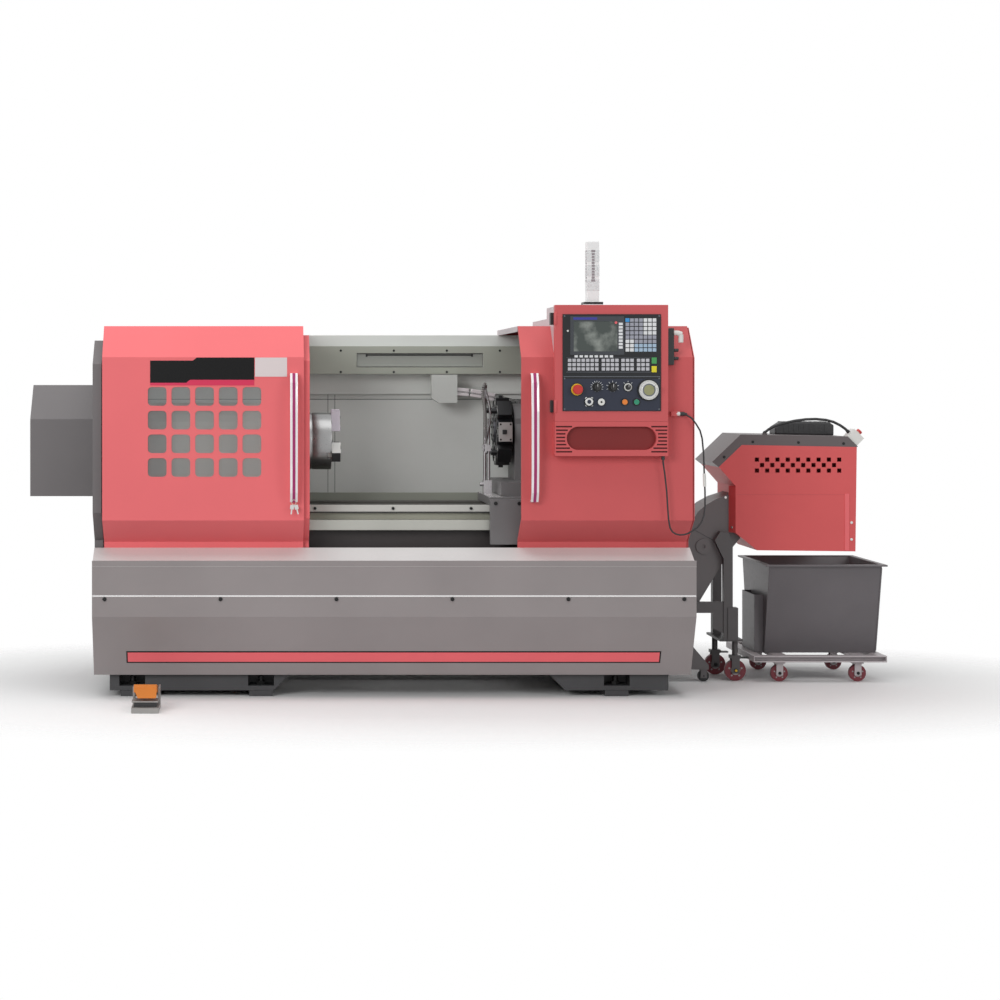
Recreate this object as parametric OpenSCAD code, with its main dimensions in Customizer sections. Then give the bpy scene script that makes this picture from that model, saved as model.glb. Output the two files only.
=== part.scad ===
// CNC turning lathe with sliding doors, chip conveyor and chip cart.
// Millimetres, +Z up, +X to the conveyor end, -Y to the operator.
// The origin lies on the floor, in the middle of the four anchor holes.

/* [Base] */
// Length of the base cover
base_l = 2540; // [2530:1:2580]
// Height of the upper edge of the upright band
band_top = 565; // [555:1:575]
// Height of the bend under the band
bend_z = 355; // [340:1:370]
// Height of the lower edge of the cover
skirt_z = 95; // [88:1:100]
// Set-back of the lower edge of the cover
skirt_in = 121; // [100:1:130]
// Height of the door ledge
ledge_z = 634; // [630:1:638]
// Thickness of cover and guard sheets
sheet_t = 4; // [3:0.5:5]
// Spacing of the anchor holes across the bed
anchor_y = 700; // [690:1:704]
// Radius of the anchor holes
anchor_r = 13; // [10:0.5:14]
// Height of a levelling pad
pad_h = 25; // [20:1:28]

/* [Bed and spindle] */
// Height of the ways above the floor
way_z = 811; // [806:1:814]
// Width of one way
way_w = 90; // [80:1:100]
// Height of the spindle axis
axis_z = 1082; // [1076:1:1090]
// Radius of the spindle journal
journal_r = 70; // [64:1:74]
// Radius of the bar hole through the spindle
bar_r = 41; // [30:1:45]
// Radius of the chuck
chuck_r = 125; // [120:1:130]
// Length of the chuck body
chuck_l = 140; // [130:1:144]
// Width of a chuck jaw
jaw_w = 40; // [34:1:44]
// Radius of the feed screw
screw_r = 16; // [14:0.5:17]

/* [Doors] */
// Height of the lower end of the door face
face_bot = 759; // [750:1:765]
// Height of the upper end of the door face
face_top = 1446; // [1440:1:1450]
// Height of the door roof
roof_z = 1580; // [1576:1:1590]
// Width of one window in the left door
window_w = 78.5; // [70:0.5:84]
// Pitch of the windows
window_p = 99.6; // [96:0.2:102]
// Corner radius of a window
window_r = 17; // [10:1:22]
// Length of a door handle
handle_l = 541; // [500:1:560]
// Width of a door handle
handle_w = 32; // [26:1:36]
// Stand-off of a door handle
handle_gap = 56; // [48:1:60]

/* [Console] */
// Width of the console front
console_w = 473; // [465:1:477]
// Height of the console front
console_h = 488; // [484:1:492]
// Radius of the emergency stop
estop_r = 20.5; // [17:0.5:22]
// Radius of the override knobs
knob_r = 14.5; // [12:0.5:17]
// Radius of the hand wheel
wheel_r = 40.5; // [36:0.5:43]
// Radius of the two push buttons
button_r = 11; // [9:0.5:12]

/* [Conveyor and cart] */
// Depth of the conveyor head
head_d = 372; // [360:1:380]
// Radius of the conveyor casters
caster_r = 47; // [44:1:48]
// Radius of the cart wheels
cart_r = 37.5; // [35:0.5:38]
// Length of the chip bin at its rim
bin_l = 543; // [536:1:550]
// Height of the bin rim
bin_z = 526; // [515:1:532]

/* [Fits] */
// Gap between pieces that slide or swing past each other
slide_gap = 0.4; // [0.35:0.05:0.5]
// Radial play of a turning shaft in its bore
run_gap = 0.05; // [0.03:0.01:0.08]

/* [Hidden] */
$fn = 48;
// the anchor holes keep their distance from both ends of the base
anchor_x = base_l - 470;
left_x = -anchor_x / 2 - 161;
end_x = left_x + base_l;
// shifts of the headstock end and of the tailstock end when the base grows
lx = left_x + 1196;
rx = end_x - 1344;
front_y = -550;
back_y = 550;
tray_z = 610;
t = sheet_t;
axis_y = -100;
wall_y = 350;
beam_z = 1558;
// door section, outer side, from the foot flange to the rear beam
ledge_y = front_y + 141;
face_y = front_y + 14;
roof_y = front_y + 134;
foot_z = ledge_z + slide_gap;
door_line = [[ledge_y, foot_z], [ledge_y, foot_z + 26], [face_y, face_bot], [face_y, face_top],
             [roof_y, roof_z], [wall_y - 5, roof_z], [wall_y - 5, beam_z + slide_gap]];
// fixed guard section, a little inside the doors
guard_line = [[ledge_y + 20, ledge_z], [ledge_y + 20, foot_z + 30], [face_y + 24, face_bot + 10],
              [face_y + 24, face_top - 14], [roof_y + 24, roof_z - 38], [wall_y - 50, roof_z - 38]];
left_door_x = [left_x + 42, left_x + 891];
right_door_x = [end_x - 734, end_x - 13];
nose_x = left_x + 880;
face_x = nose_x + chuck_l;
jaw_key = 24;
jaw_drop = 18;
pulley_x = left_x - 104;
bed_x = [left_x + 56, end_x - 94];
bed_y = [-270, 100];
// three chip openings between the headstock and the right foot
chip_x = [left_x + 916, end_x - 594];
chip_w = (chip_x[1] - chip_x[0] - 100) / 3;
inner_pad_x = left_x + 711;
lamp_box_x = [left_x + 916, end_x - 24];
lamp_x = [left_x + 1155, end_x - 810];
bed_z = 500;
screw_y = -298;
screw_z = 718;
screw_x = [left_x + 861, end_x - 119];
saddle_x = [end_x - 847, end_x - 384];
saddle_z = way_z + slide_gap;
cross_z = 846;
turret_y = 130;
turret_z = 1120;
disc_x = [end_x - 772, end_x - 704];
tail_x = [end_x - 344, end_x - 154];
quill_r = 38;
// the console is centred on the right door and its top stays above the roof
console_mid = end_x - 364.5;
console_x = console_mid - console_w / 2;
console_z = roof_z + 84 - console_h;
console_y = front_y - 45;
house_y = -304;
// controls, measured from the middle and the foot of the console
estop_at = [-145.5, 134];
wheel_at = [151.5, 132];
knob_xs = [-62.5, 3.5, 67.5];
knob_z = 144;
stop_x = 53.5;
start_x = 102.5;
button_z = 82;
panel_y = console_y - 4;
trunk_y = [75, 290];
head_y = 30;
cart_x = end_x + 372;
cart_y = [10, 569];
bin_x = end_x + 427;
frame_z = 120;
left_axle = end_x + 498;
right_axle = end_x + 849;
front_caster = [end_x + 306, 94];
back_caster = [end_x + 261, 304];
tail_caster = [end_x + 157, 65];
tail_wheel_r = 25.5;
pedal_x = left_x + 239;
pedal_y = -781;

// door cable, from the plug on the right door round to the console's foot
door_cable_route = [[1262, -548, 1208], [1280, -548, 1208], [1297, -552, 1205], [1322, -557, 1190],
    [1340, -560, 1165], [1356, -560, 1138], [1365, -560, 1105], [1371, -560, 1040], [1374, -560, 955],
    [1377, -560, 880], [1377, -560, 820], [1372, -560, 780], [1360, -560, 750], [1343, -560, 730],
    [1322, -560, 716], [1305, -561, 706], [1288, -562, 701], [1270, -562, 700], [1254, -562, 704],
    [1240, -562, 713], [1230, -562, 730], [1224, -562, 764], [1221, -562, 802], [1216, -563, 880],
    [1207, -564, 960], [1200, -566, 1005], [1200, -566, 1032]];
// drive hose over the top of the conveyor, measured from the end of the base
hose_route = [[435, 75, 1113.05], [435, 75, 1117], [439, 75, 1125], [450, 75, 1134], [478, 75, 1146],
    [520, 75, 1157], [570, 75, 1168], [620, 75, 1174.5], [665, 75, 1176], [710, 75, 1172],
    [745, 75, 1163], [775, 75, 1148], [798, 75, 1132], [813.8, 75, 1116.2]];
// flexible conduit from the cable box to the turret
conduit_route = [[405, 240, 1299], [440, 240, 1297.5], [500, 240, 1289], [560, 240, 1277],
    [620, 240, 1263], [660, 240, 1252], [680, 240, 1245], [690, 240, 1245]];

// Outline of a bent sheet: the line p, and the same line moved by w to its left
function side(a, b) = [a[1] - b[1], b[0] - a[0]] / norm(b - a);
function shifted(p, i, w) =
    i == 0 ? p[0] + w * side(p[0], p[1]) :
    i == len(p) - 1 ? p[i] + w * side(p[i - 1], p[i]) :
    let (m = side(p[i - 1], p[i]), n = side(p[i], p[i + 1])) p[i] + w * (m + n) / (1 + m * n);
function bent(p, w) = concat(p, [for (i = [len(p) - 1:-1:0]) shifted(p, i, w)]);
function moved(p, dx) = [for (q = p) [q[0] + dx, q[1]]];

// Profile in Y and Z, drawn out along X
module along_x(x0, x1) {
    translate([x0, 0, 0]) rotate([90, 0, 90]) linear_extrude(x1 - x0) children();
}

// Profile in X and Z, drawn out along Y
module along_y(y0, y1) {
    translate([0, y1, 0]) rotate([90, 0, 0]) linear_extrude(y1 - y0) children();
}

module block(a, b) {
    translate(a) cube(b - a);
}

module rod_x(x0, x1, r, y, z) {
    translate([x0, y, z]) rotate([0, 90, 0]) cylinder(h = x1 - x0, r = r);
}

module rod_y(y0, y1, r, x, z) {
    translate([x, y0, z]) rotate([-90, 0, 0]) cylinder(h = y1 - y0, r = r);
}

module rod_z(z0, z1, r, x, y) {
    translate([x, y, z0]) cylinder(h = z1 - z0, r = r);
}

module round_square(w, h, r) {
    square([w - 2 * r, h], center = true);
    square([w, h - 2 * r], center = true);
    for (sx = [-1, 1]) {
        for (sy = [-1, 1]) {
            translate([sx * (w / 2 - r), sy * (h / 2 - r)]) circle(r);
        }
    }
}

// Round cord of radius r along the points p
module cord(p, r, n = 8) {
    m = len(p);
    rings = [for (i = [0:m - 1])
        let (d = p[min(i + 1, m - 1)] - p[max(i - 1, 0)], f = d / norm(d),
             s = abs(f[1]) < 0.8 ? [0, 1, 0] : [0, 0, 1],
             u = cross(s, f) / norm(cross(s, f)), v = cross(f, u))
        [for (k = [0:n - 1]) p[i] + r * (cos(360 * k / n) * u + sin(360 * k / n) * v)]];
    points = [for (ring = rings) for (q = ring) q];
    sides = [for (i = [0:m - 2]) for (k = [0:n - 1])
        [i * n + k, (i + 1) * n + k, (i + 1) * n + (k + 1) % n, i * n + (k + 1) % n]];
    ends = [[for (k = [0:n - 1]) k], [for (k = [n - 1:-1:0]) (m - 1) * n + k]];
    polyhedron(points, concat(sides, ends));
}

// Bed casting with two ways, chip openings and the bearings of the feed screw
module bed() {
    color([0.45, 0.46, 0.42])
    difference() {
        union() {
            block([bed_x[0], bed_y[0], bed_z], [bed_x[1], bed_y[1], way_z - 30]);
            block([bed_x[0], bed_y[0] - 20, way_z - 30], [bed_x[1], bed_y[0] - 20 + way_w, way_z]);
            block([bed_x[0], bed_y[1] + 10 - way_w, way_z - 30], [bed_x[1], bed_y[1] + 10, way_z]);
            for (x = [screw_x[0] - 5, screw_x[1] - 35]) {
                block([x, -330, 690], [x + 40, bed_y[0], 746]);
            }
        }
        for (i = [0:2]) {
            block([chip_x[0] + i * (chip_w + 50), -190, bed_z - 1],
                [chip_x[0] + i * (chip_w + 50) + chip_w, 10, way_z + 1]);
        }
        block([end_x - 554, -190, 560], [end_x - 124, 10, way_z + 1]);
        rod_x(screw_x[0] - 15, screw_x[1] + 15, screw_r + run_gap, screw_y, screw_z);
    }
}

// Two foot castings, with a notch over every pad and a tunnel for the conveyor
module pedestals() {
    color([0.2, 0.2, 0.21])
    difference() {
        union() {
            along_y(-400, 400)
                polygon(moved([[-1131, pad_h], [-430, pad_h], [-364, skirt_z], [-364, bed_z],
                    [-1131, bed_z]], lx));
            along_y(-400, 400)
                polygon(moved([[814, pad_h], [1255, pad_h], [1255, bed_z], [744, bed_z],
                    [744, skirt_z]], rx));
        }
        block([left_x + 105, -360, pad_h + 70], [left_x + 726, 401, bed_z - 40]);
        block([end_x - 644, trunk_y[0] - 8, pad_h - 1], [end_x - 44, trunk_y[1] + 8, 430]);
        for (x = [-anchor_x / 2, inner_pad_x, anchor_x / 2]) {
            for (s = [-1, 1]) {
                block([x - 55, s > 0 ? 304 : -401, pad_h + 20],
                    [x + 55, s > 0 ? 401 : -304, skirt_z + 30]);
            }
        }
        for (x = [-1, 1]) {
            for (y = [-1, 1]) {
                rod_z(0, pad_h + 21, anchor_r, x * anchor_x / 2, y * anchor_y / 2);
            }
        }
    }
}

// Steel pads under the feet; the four outer ones carry the anchor holes
module leveling_pads() {
    color([0.25, 0.25, 0.26])
    for (y = [-1, 1]) {
        for (x = [-1, 1]) {
            difference() {
                translate([x * anchor_x / 2, y * anchor_y / 2, pad_h / 2])
                    cube([100, 92, pad_h], center = true);
                rod_z(-1, pad_h + 1, anchor_r, x * anchor_x / 2, y * anchor_y / 2);
            }
        }
        translate([inner_pad_x, y * anchor_y / 2, pad_h / 2]) cube([100, 92, pad_h], center = true);
    }
}

// Sheet cover all round the base, with the sloping ledge under the doors
module base_cover() {
    color([0.51, 0.49, 0.49]) {
        along_x(left_x + t, end_x - t)
            polygon(bent([[front_y + skirt_in, skirt_z], [front_y, bend_z], [front_y, band_top],
                [ledge_y, ledge_z], [ledge_y + 24, ledge_z], [ledge_y + 24, tray_z + t]], -t));
        along_x(left_x + t, end_x - t)
            polygon(bent([[back_y, skirt_z], [back_y, ledge_z], [wall_y - 10, ledge_z],
                [wall_y - 10, tray_z + t]], t));
        difference() {
            for (x = [left_x, end_x - t]) {
                along_x(x, x + t)
                    polygon([[front_y + skirt_in, skirt_z], [front_y, bend_z], [front_y, band_top],
                        [ledge_y, ledge_z], [back_y, ledge_z], [back_y, skirt_z]]);
            }
            block([end_x - 50, trunk_y[0], skirt_z - 1], [end_x + 1, trunk_y[1], 520]);
            block([end_x - 50, 38, skirt_z - 1], [end_x + 1, trunk_y[0] + 1, 130]);
        }
    }
}

// Tray round the bed that catches chips, open behind the bed over the conveyor
module chip_tray() {
    color([0.14, 0.14, 0.14])
    difference() {
        block([left_x + t, ledge_y + 24 - t, tray_z], [end_x - t, back_y - t, tray_z + t]);
        block([bed_x[0], bed_y[0], tray_z - 1], [bed_x[1], bed_y[1], tray_z + t + 1]);
        block([left_x + 856, bed_y[1] - 1, tray_z - 1], [end_x - 614, trunk_y[1], tray_z + t + 1]);
    }
}

// Cover over the headstock end, and the belt guard that stands out from it
module left_end_guards() {
    rim = [[ledge_y + 14, ledge_z], [ledge_y + 14, foot_z + 32], [face_y + 22, face_bot + 30],
        [face_y + 22, face_top - 28], [roof_y + 22, roof_z - 61], [wall_y, roof_z - 61], [wall_y, ledge_z]];
    guard = [[-300, 849], [-300, 1182], [-161, 1329], [200, 1329], [200, 849]];
    hollow = [[-300 + t, 849 + t], [-300 + t, 1180], [-159, 1329 - t], [200 - t, 1329 - t],
        [200 - t, 849 + t]];
    color([0.42, 0.41, 0.42]) {
        difference() {
            along_x(left_x, left_x + t) polygon(rim);
            rod_x(left_x - 1, left_x + t + 1, 140, axis_y, axis_z);
        }
        along_x(left_x + t, left_x + 38) polygon(bent(rim, -3));
        difference() {
            along_x(left_x - 285, left_x) polygon(guard);
            along_x(left_x - 285 + t, left_x + 1) polygon(hollow);
        }
    }
}

// Fixed hoop of sheet behind the left door
module left_guard() {
    color([0.8, 0.32, 0.33]) along_x(left_x + 796, left_x + 916) polygon(bent(guard_line, -3));
}

// Fixed end wall behind the right door
module right_guard() {
    color([0.74, 0.3, 0.31])
    along_x(end_x - 9, end_x - 5)
        polygon([[ledge_y + 6, ledge_z], [ledge_y + 6, foot_z + 28], [face_y + 4, face_bot + 2],
            [face_y + 4, face_top - 2], [roof_y + 4, roof_z - 6], [wall_y, roof_z - 6], [wall_y, ledge_z]]);
}

// Rear wall with its top beam, the lamp box with a long slot, and a rail under it
module rear_guard() {
    color([0.6, 0.61, 0.59]) {
        block([left_x + 38, wall_y, ledge_z], [end_x - 9, wall_y + 3, beam_z]);
        along_x(left_x + 46, end_x - 13)
            polygon(bent([[wall_y, 1507], [wall_y - 50, 1507], [wall_y - 50, beam_z], [wall_y, beam_z]], -3));
        difference() {
            union() {
                along_x(lamp_box_x[0], lamp_box_x[1])
                    polygon(bent([[wall_y, 1380], [270, 1380], [270, 1495], [wall_y, 1495]], -3));
                block([lamp_x[0] - 7, 270, 1405], [lamp_x[1] + 7, 308, 1480]);
            }
            block([lamp_x[0] - 2, 269, 1410], [lamp_x[1] + 2, 303, 1475]);
        }
        block([lamp_box_x[0], wall_y - 18, 1288], [lamp_box_x[1], wall_y, 1300]);
    }
}

// Long lamp set in the slot of the lamp box
module work_lamp() {
    color([0.85, 0.87, 0.86]) block([lamp_x[0], 284, 1414], [lamp_x[1], 303, 1471]);
}

// Headstock casting with the bearing bores of the spindle
module headstock() {
    color([0.55, 0.56, 0.55])
    difference() {
        union() {
            along_x(left_x + 66, nose_x - 29)
                polygon([[-320, way_z], [-320, 1170], [-250, 1250], [60, 1250], [120, 1180], [120, way_z]]);
            rod_x(nose_x - 29, nose_x - 27, 112, axis_y, axis_z);
        }
        rod_x(left_x + 65, nose_x - 26, journal_r + run_gap, axis_y, axis_z);
        rod_x(left_x + 146, nose_x - 114, journal_r + 30, axis_y, axis_z);
    }
}

// Cabinet with two doors on the back of the base
module electrical_cabinet() {
    color([0.5, 0.49, 0.49]) {
        block([left_x + 46, back_y, 250], [left_x + 746, back_y + 280, 1450]);
        for (x = [left_x + 50, left_x + 398]) {
            block([x, back_y + 280, 258], [x + 344, back_y + 286, 1442]);
        }
        block([left_x + 386, back_y + 286, 830], [left_x + 394, back_y + 310, 950]);
    }
}

// Folded strip over the feed screw
module screw_cover() {
    color([0.72, 0.73, 0.72])
    along_x(screw_x[0] + 40, screw_x[1] - 40) polygon(bent([[-333, 704], [-333, 748], [bed_y[0], 748]], -3));
}

// Ball screw that drives the saddle
module feed_screw() {
    color([0.7, 0.7, 0.7]) rod_x(screw_x[0], screw_x[1], screw_r, screw_y, screw_z);
}

// Hollow spindle with belt pulley and nose flange
module spindle() {
    color([0.62, 0.62, 0.63])
    difference() {
        union() {
            rod_x(pulley_x - 10, nose_x, journal_r, axis_y, axis_z);
            rod_x(nose_x - 24, nose_x, 104, axis_y, axis_z);
            rod_x(pulley_x, pulley_x + 90, 105, axis_y, axis_z);
        }
        rod_x(pulley_x - 11, nose_x + 1, bar_r, axis_y, axis_z);
        for (x = [pulley_x + 12, pulley_x + 36, pulley_x + 60]) {
            difference() {
                rod_x(x, x + 16, 120, axis_y, axis_z);
                rod_x(x, x + 16, 95, axis_y, axis_z);
            }
        }
    }
}

// Chuck body with three slots in its face
module chuck_body() {
    color([0.66, 0.67, 0.68])
    difference() {
        translate([nose_x, axis_y, axis_z]) rotate([0, 90, 0]) cylinder(h = chuck_l, r = chuck_r, $fn = 96);
        rod_x(nose_x - 1, face_x + 1, bar_r - 4, axis_y, axis_z);
        translate([face_x, axis_y, axis_z])
            for (a = [0, 120, 240]) {
                rotate([a, 0, 0])
                    block([-jaw_drop - slide_gap, -jaw_key / 2 - slide_gap, 44],
                        [1, jaw_key / 2 + slide_gap, chuck_r + 2]);
            }
        difference() {
            rod_x(nose_x + 52, nose_x + 58, chuck_r + 5, axis_y, axis_z);
            rod_x(nose_x + 52, nose_x + 58, chuck_r - 2.5, axis_y, axis_z);
        }
    }
}

// Stepped jaw, turned by the angle a round the spindle axis
module jaw(a) {
    translate([face_x, axis_y, axis_z]) rotate([a, 0, 0]) {
        block([-jaw_drop, -jaw_key / 2, 50], [slide_gap, jaw_key / 2, 114]);
        difference() {
            translate([0, jaw_w / 2, 0]) rotate([90, 0, 0]) linear_extrude(jaw_w)
                polygon([[slide_gap, 46], [42, 46], [42, 66], [30, 66], [30, 92], [17, 92], [17, 118],
                    [slide_gap, 118]]);
            translate([-1, 0, 79]) rotate([0, 90, 0]) cylinder(h = 50, r = 7);
        }
    }
}

module jaw_1() {
    color([0.78, 0.78, 0.76]) jaw(0);
}

module jaw_2() {
    color([0.5, 0.5, 0.52]) jaw(120);
}

module jaw_3() {
    color([0.2, 0.2, 0.2]) jaw(240);
}

// Saddle on the ways, with the apron in front and the nut of the feed screw
module saddle() {
    nut_x = saddle_x[0] + 203;
    color([0.6, 0.6, 0.6])
    difference() {
        union() {
            block([saddle_x[0], -330, saddle_z], [saddle_x[1], 140, cross_z]);
            block([saddle_x[0], -378, 645], [saddle_x[1], -345, 838]);
            block([saddle_x[0], -346, saddle_z], [saddle_x[1], -329, 838]);
            block([nut_x, -346, 655], [nut_x + 80, -278, 694]);
            block([nut_x, screw_y - 14, 690], [nut_x + 80, screw_y + 14, screw_z]);
            rod_x(nut_x, nut_x + 80, 20, screw_y, screw_z);
        }
        rod_x(nut_x - 1, nut_x + 81, screw_r + slide_gap, screw_y, screw_z);
    }
}

// Coolant riser with a valve, on the front corner of the saddle
module coolant_pipe() {
    color([0.7, 0.7, 0.71]) translate([rx, 0, 0]) {
        block([500, -85, cross_z], [536, -35, cross_z + 62]);
        rod_z(cross_z + 62, 1322, 7, 508, -60);
        rod_z(cross_z + 62, 1180, 6, 526, -60);
        rod_z(1315, 1329, 10, 508, -60);
        block([496, -72, 1036], [534, -48, 1064]);
        rod_y(-92, -72, 5, 508, 1050);
        block([504, -97, 1030], [512, -91, 1070]);
        rod_x(486, 500, 9, -60, 890);
    }
}

// Cross slide with the turret housing and the conduit socket
module cross_slide() {
    color([0.58, 0.59, 0.58]) translate([rx, 0, 0])
    difference() {
        union() {
            block([560, -240, cross_z + slide_gap], [880, 290, 905]);
            block([650, 10, 905], [880, 260, 1180]);
            rod_x(650, 880, 125, turret_y, turret_z);
            block([690, 205, 1175], [740, 258, 1262]);
        }
        rod_x(649, 730, 40 + run_gap, turret_y, turret_z);
    }
}

// Junction box on an arm of the cross slide, with the conduit to the turret
module cable_box() {
    color([0.72, 0.73, 0.72]) translate([rx, 0, 0]) {
        along_y(195, 258) polygon([[295, 1268], [326, 1248], [411, 1248], [411, 1376], [295, 1376]]);
        along_y(250, 258) polygon([[405, 1288], [690, 1234], [690, 1256], [405, 1310]]);
        cord(conduit_route, 15, 12);
    }
}

// Eight-sided turret disc on its shaft
module turret_disc() {
    color([0.35, 0.35, 0.36]) {
        translate([disc_x[0], turret_y, turret_z]) rotate([0, 90, 0]) rotate([0, 0, 22.5])
            linear_extrude(disc_x[1] - disc_x[0]) circle(r = 116, $fn = 8);
        rod_x(disc_x[1], disc_x[1] + 85, 40, turret_y, turret_z);
        rod_x(disc_x[0] - 8, disc_x[0], 52, turret_y, turret_z);
    }
}

// Tool blocks on the flats of the disc, with turning tools and boring bars
module tool_holders() {
    flat = 116 * cos(22.5);
    color([0.16, 0.16, 0.17])
    translate([0, turret_y, turret_z])
        for (k = [0:7]) {
            rotate([45 * k, 0, 0]) {
                block([disc_x[0] + 2, -30, flat], [disc_x[1] - 4, 30, 148]);
                if (k % 2 == 0) {
                    block([disc_x[0] + 18, -10, 148], [disc_x[0] + 38, 10, 163]);
                } else {
                    block([disc_x[0] - 27, -9, 122], [disc_x[0] + 2, 9, 140]);
                }
            }
        }
}

// Tailstock on the ways, with the bore of the quill
module tailstock_body() {
    color([0.55, 0.56, 0.55])
    difference() {
        union() {
            block([tail_x[0], -300, saddle_z], [tail_x[1], 120, 856]);
            along_x(tail_x[0], tail_x[1])
                polygon([[-200, 855], [0, 855], [-30, axis_z], [-170, axis_z]]);
            rod_x(tail_x[0], tail_x[1], 76, axis_y, axis_z);
        }
        rod_x(tail_x[0] - 1, tail_x[1] + 1, quill_r + run_gap, axis_y, axis_z);
    }
}

// Quill with a fixed centre in its end
module tailstock_quill() {
    color([0.7, 0.7, 0.71]) {
        rod_x(tail_x[0] - 10, tail_x[1] - 10, quill_r, axis_y, axis_z);
        translate([tail_x[0] - 10, axis_y, axis_z]) rotate([0, -90, 0]) cylinder(h = 36, r1 = 21, r2 = 0.5);
    }
}

// Bent sheet of a door from x0 to x1, with a folded rim on both ends
module door_sheet(x0, x1) {
    rim = [for (i = [0:5]) door_line[i]];
    along_x(x0, x1) polygon(bent(door_line, -t));
    for (x = [x0, x1 - 3]) {
        along_x(x, x + 3) polygon(bent(rim, -14));
    }
}

// Left door with five columns and four rows of windows
module left_door() {
    color([0.87, 0.38, 0.39])
    difference() {
        door_sheet(left_door_x[0], left_door_x[1]);
        for (i = [0:4]) {
            for (j = [0:3]) {
                translate([left_x + 273.5 + window_p * i, face_y + 10, 982 + window_p * j]) rotate([90, 0, 0])
                    linear_extrude(20) round_square(window_w, window_w, window_r);
            }
        }
    }
}

// Bowed flat bar that stands off a door face, its left edge at x
module handle(x) {
    z0 = 1108 - handle_l / 2;
    z1 = 1108 + handle_l / 2;
    along_x(x, x + handle_w)
        polygon(bent([[face_y, z0], [face_y - handle_gap * 0.5, z0], [face_y - handle_gap + 8, z0 + 40],
            [face_y - handle_gap, z0 + 160], [face_y - handle_gap, z1 - 160],
            [face_y - handle_gap + 8, z1 - 40], [face_y - handle_gap * 0.5, z1], [face_y, z1]], -7));
}

module left_handle() {
    color([0.85, 0.83, 0.85]) handle(left_door_x[1] - 59);
}

module right_handle() {
    color([0.85, 0.83, 0.85]) handle(right_door_x[0] + 36);
}

// Clear pane behind the windows
module left_window() {
    color([0.7, 0.75, 0.75]) block([left_x + 221, face_y + t, 930], [left_x + 725, face_y + t + 3, 1335]);
}

// Right door with the vented box under the console and the plug of the door cable
module right_door() {
    x0 = console_x;
    x1 = console_x + console_w;
    foot = console_z - 144;
    mid_x = (x0 + x1) / 2;
    mid_z = console_z - 70;
    color([0.76, 0.33, 0.34]) {
        difference() {
            door_sheet(right_door_x[0], right_door_x[1]);
            block([x0 + 5, console_y, console_z], [x1 - 5, house_y, console_z + console_h]);
        }
        difference() {
            block([x0, console_y, foot], [x1, face_y, console_z]);
            block([x0 + 3, console_y + 26, foot + 3], [x1 - 3, face_y + 1, console_z - 3]);
            translate([mid_x, console_y + 20, mid_z]) rotate([90, 0, 0]) linear_extrude(30)
                round_square(376, 98, 48.9);
            for (k = [0:7]) {
                for (s = [-1, 1]) {
                    translate([mid_x + s * 211, console_y + 13, foot + 18 + 15 * k])
                        cube([k > 1 && k < 6 ? 34 : 44, 30, 6], center = true);
                }
            }
        }
        block([x1 + 20, -556, 1198], [x1 + 46, face_y, 1218]);
    }
}

// Grey console box behind the hinged front, and the cable duct over the roof
module console_housing() {
    x0 = console_x + 5;
    x1 = console_x + console_w - 5;
    z1 = console_z + console_h - 4;
    color([0.5, 0.49, 0.5]) {
        difference() {
            block([x0, console_y + 43, console_z], [x1, house_y, z1]);
            block([x0 + 4, console_y + 42, console_z + 4], [x1 - 4, house_y - 4, z1 - 4]);
        }
        block([x0, house_y, roof_z], [x1, 155, roof_z + 34]);
    }
}

// Upright signal lamp on the console
module signal_lamp() {
    z0 = console_z + console_h - 4;
    lamp_mid = console_mid - 55.5;
    color([0.92, 0.92, 0.92]) {
        block([lamp_mid - 40, -470, z0], [lamp_mid + 40, -390, z0 + 20]);
        block([lamp_mid - 25, -455, z0 + 20], [lamp_mid + 26, -405, z0 + 280]);
    }
}

module door_cable() {
    color([0.05, 0.05, 0.05]) translate([rx, 0, 0]) cord(door_cable_route, 3.5);
}

// Hinged pan in front of the console box
module console_front() {
    x1 = console_x + console_w;
    z0 = console_z + slide_gap;
    z1 = console_z + console_h;
    color([0.8, 0.34, 0.35])
    difference() {
        union() {
            block([console_x, console_y, z0], [x1, console_y + 41, z1]);
            for (z = [console_z + 39, z1 - 83]) {
                rod_z(z, z + 51, 7, console_x + 3, console_y + 3);
            }
        }
        block([console_x + 6, console_y + 4, z0 + 4], [x1 - 4, console_y + 42, z1 - 4]);
        block([console_x + 37, console_y - 1, console_z + 50], [x1 - 37, console_y + 5, z1 - 45]);
    }
}

// Collar of radius r and height h on the panel, at c from the console's middle and foot
module collar(c, r, h) {
    rod_y(panel_y - h, panel_y, r, console_mid + c[0], console_z + c[1]);
}

// Hole through the panel, at x and z from the console's middle and foot
module panel_hole(x, z, r) {
    rod_y(panel_y - 10, console_y + 10, r, console_mid + x, console_z + z);
}

// Black control panel with the collars of its buttons and the hand wheel
module control_panel() {
    color([0.07, 0.07, 0.08])
    difference() {
        union() {
            block([console_x + 31, panel_y, console_z + 44],
                [console_x + console_w - 31, console_y, console_z + console_h - 39]);
            collar(estop_at, 27, 4);
            collar(wheel_at, 46, 4);
            for (x = [start_x, stop_x]) {
                collar([x, button_z], 16, 4);
            }
            for (x = knob_xs) {
                collar([x, knob_z], 20, 2);
            }
            collar([-95.5, button_z], 20, 6);
            collar([-45.5, button_z], 12, 12);
        }
        panel_hole(estop_at[0], estop_at[1], 9 + slide_gap);
        panel_hole(wheel_at[0], wheel_at[1], 6 + run_gap);
        for (x = [start_x, stop_x]) {
            panel_hole(x, button_z, button_r + slide_gap);
        }
        for (x = knob_xs) {
            panel_hole(x, knob_z, 4 + run_gap);
        }
    }
}

// Places a control at c from the console's middle and foot
module at_panel(c) {
    translate([console_mid + c[0], 0, console_z + c[1]]) children();
}

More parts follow.
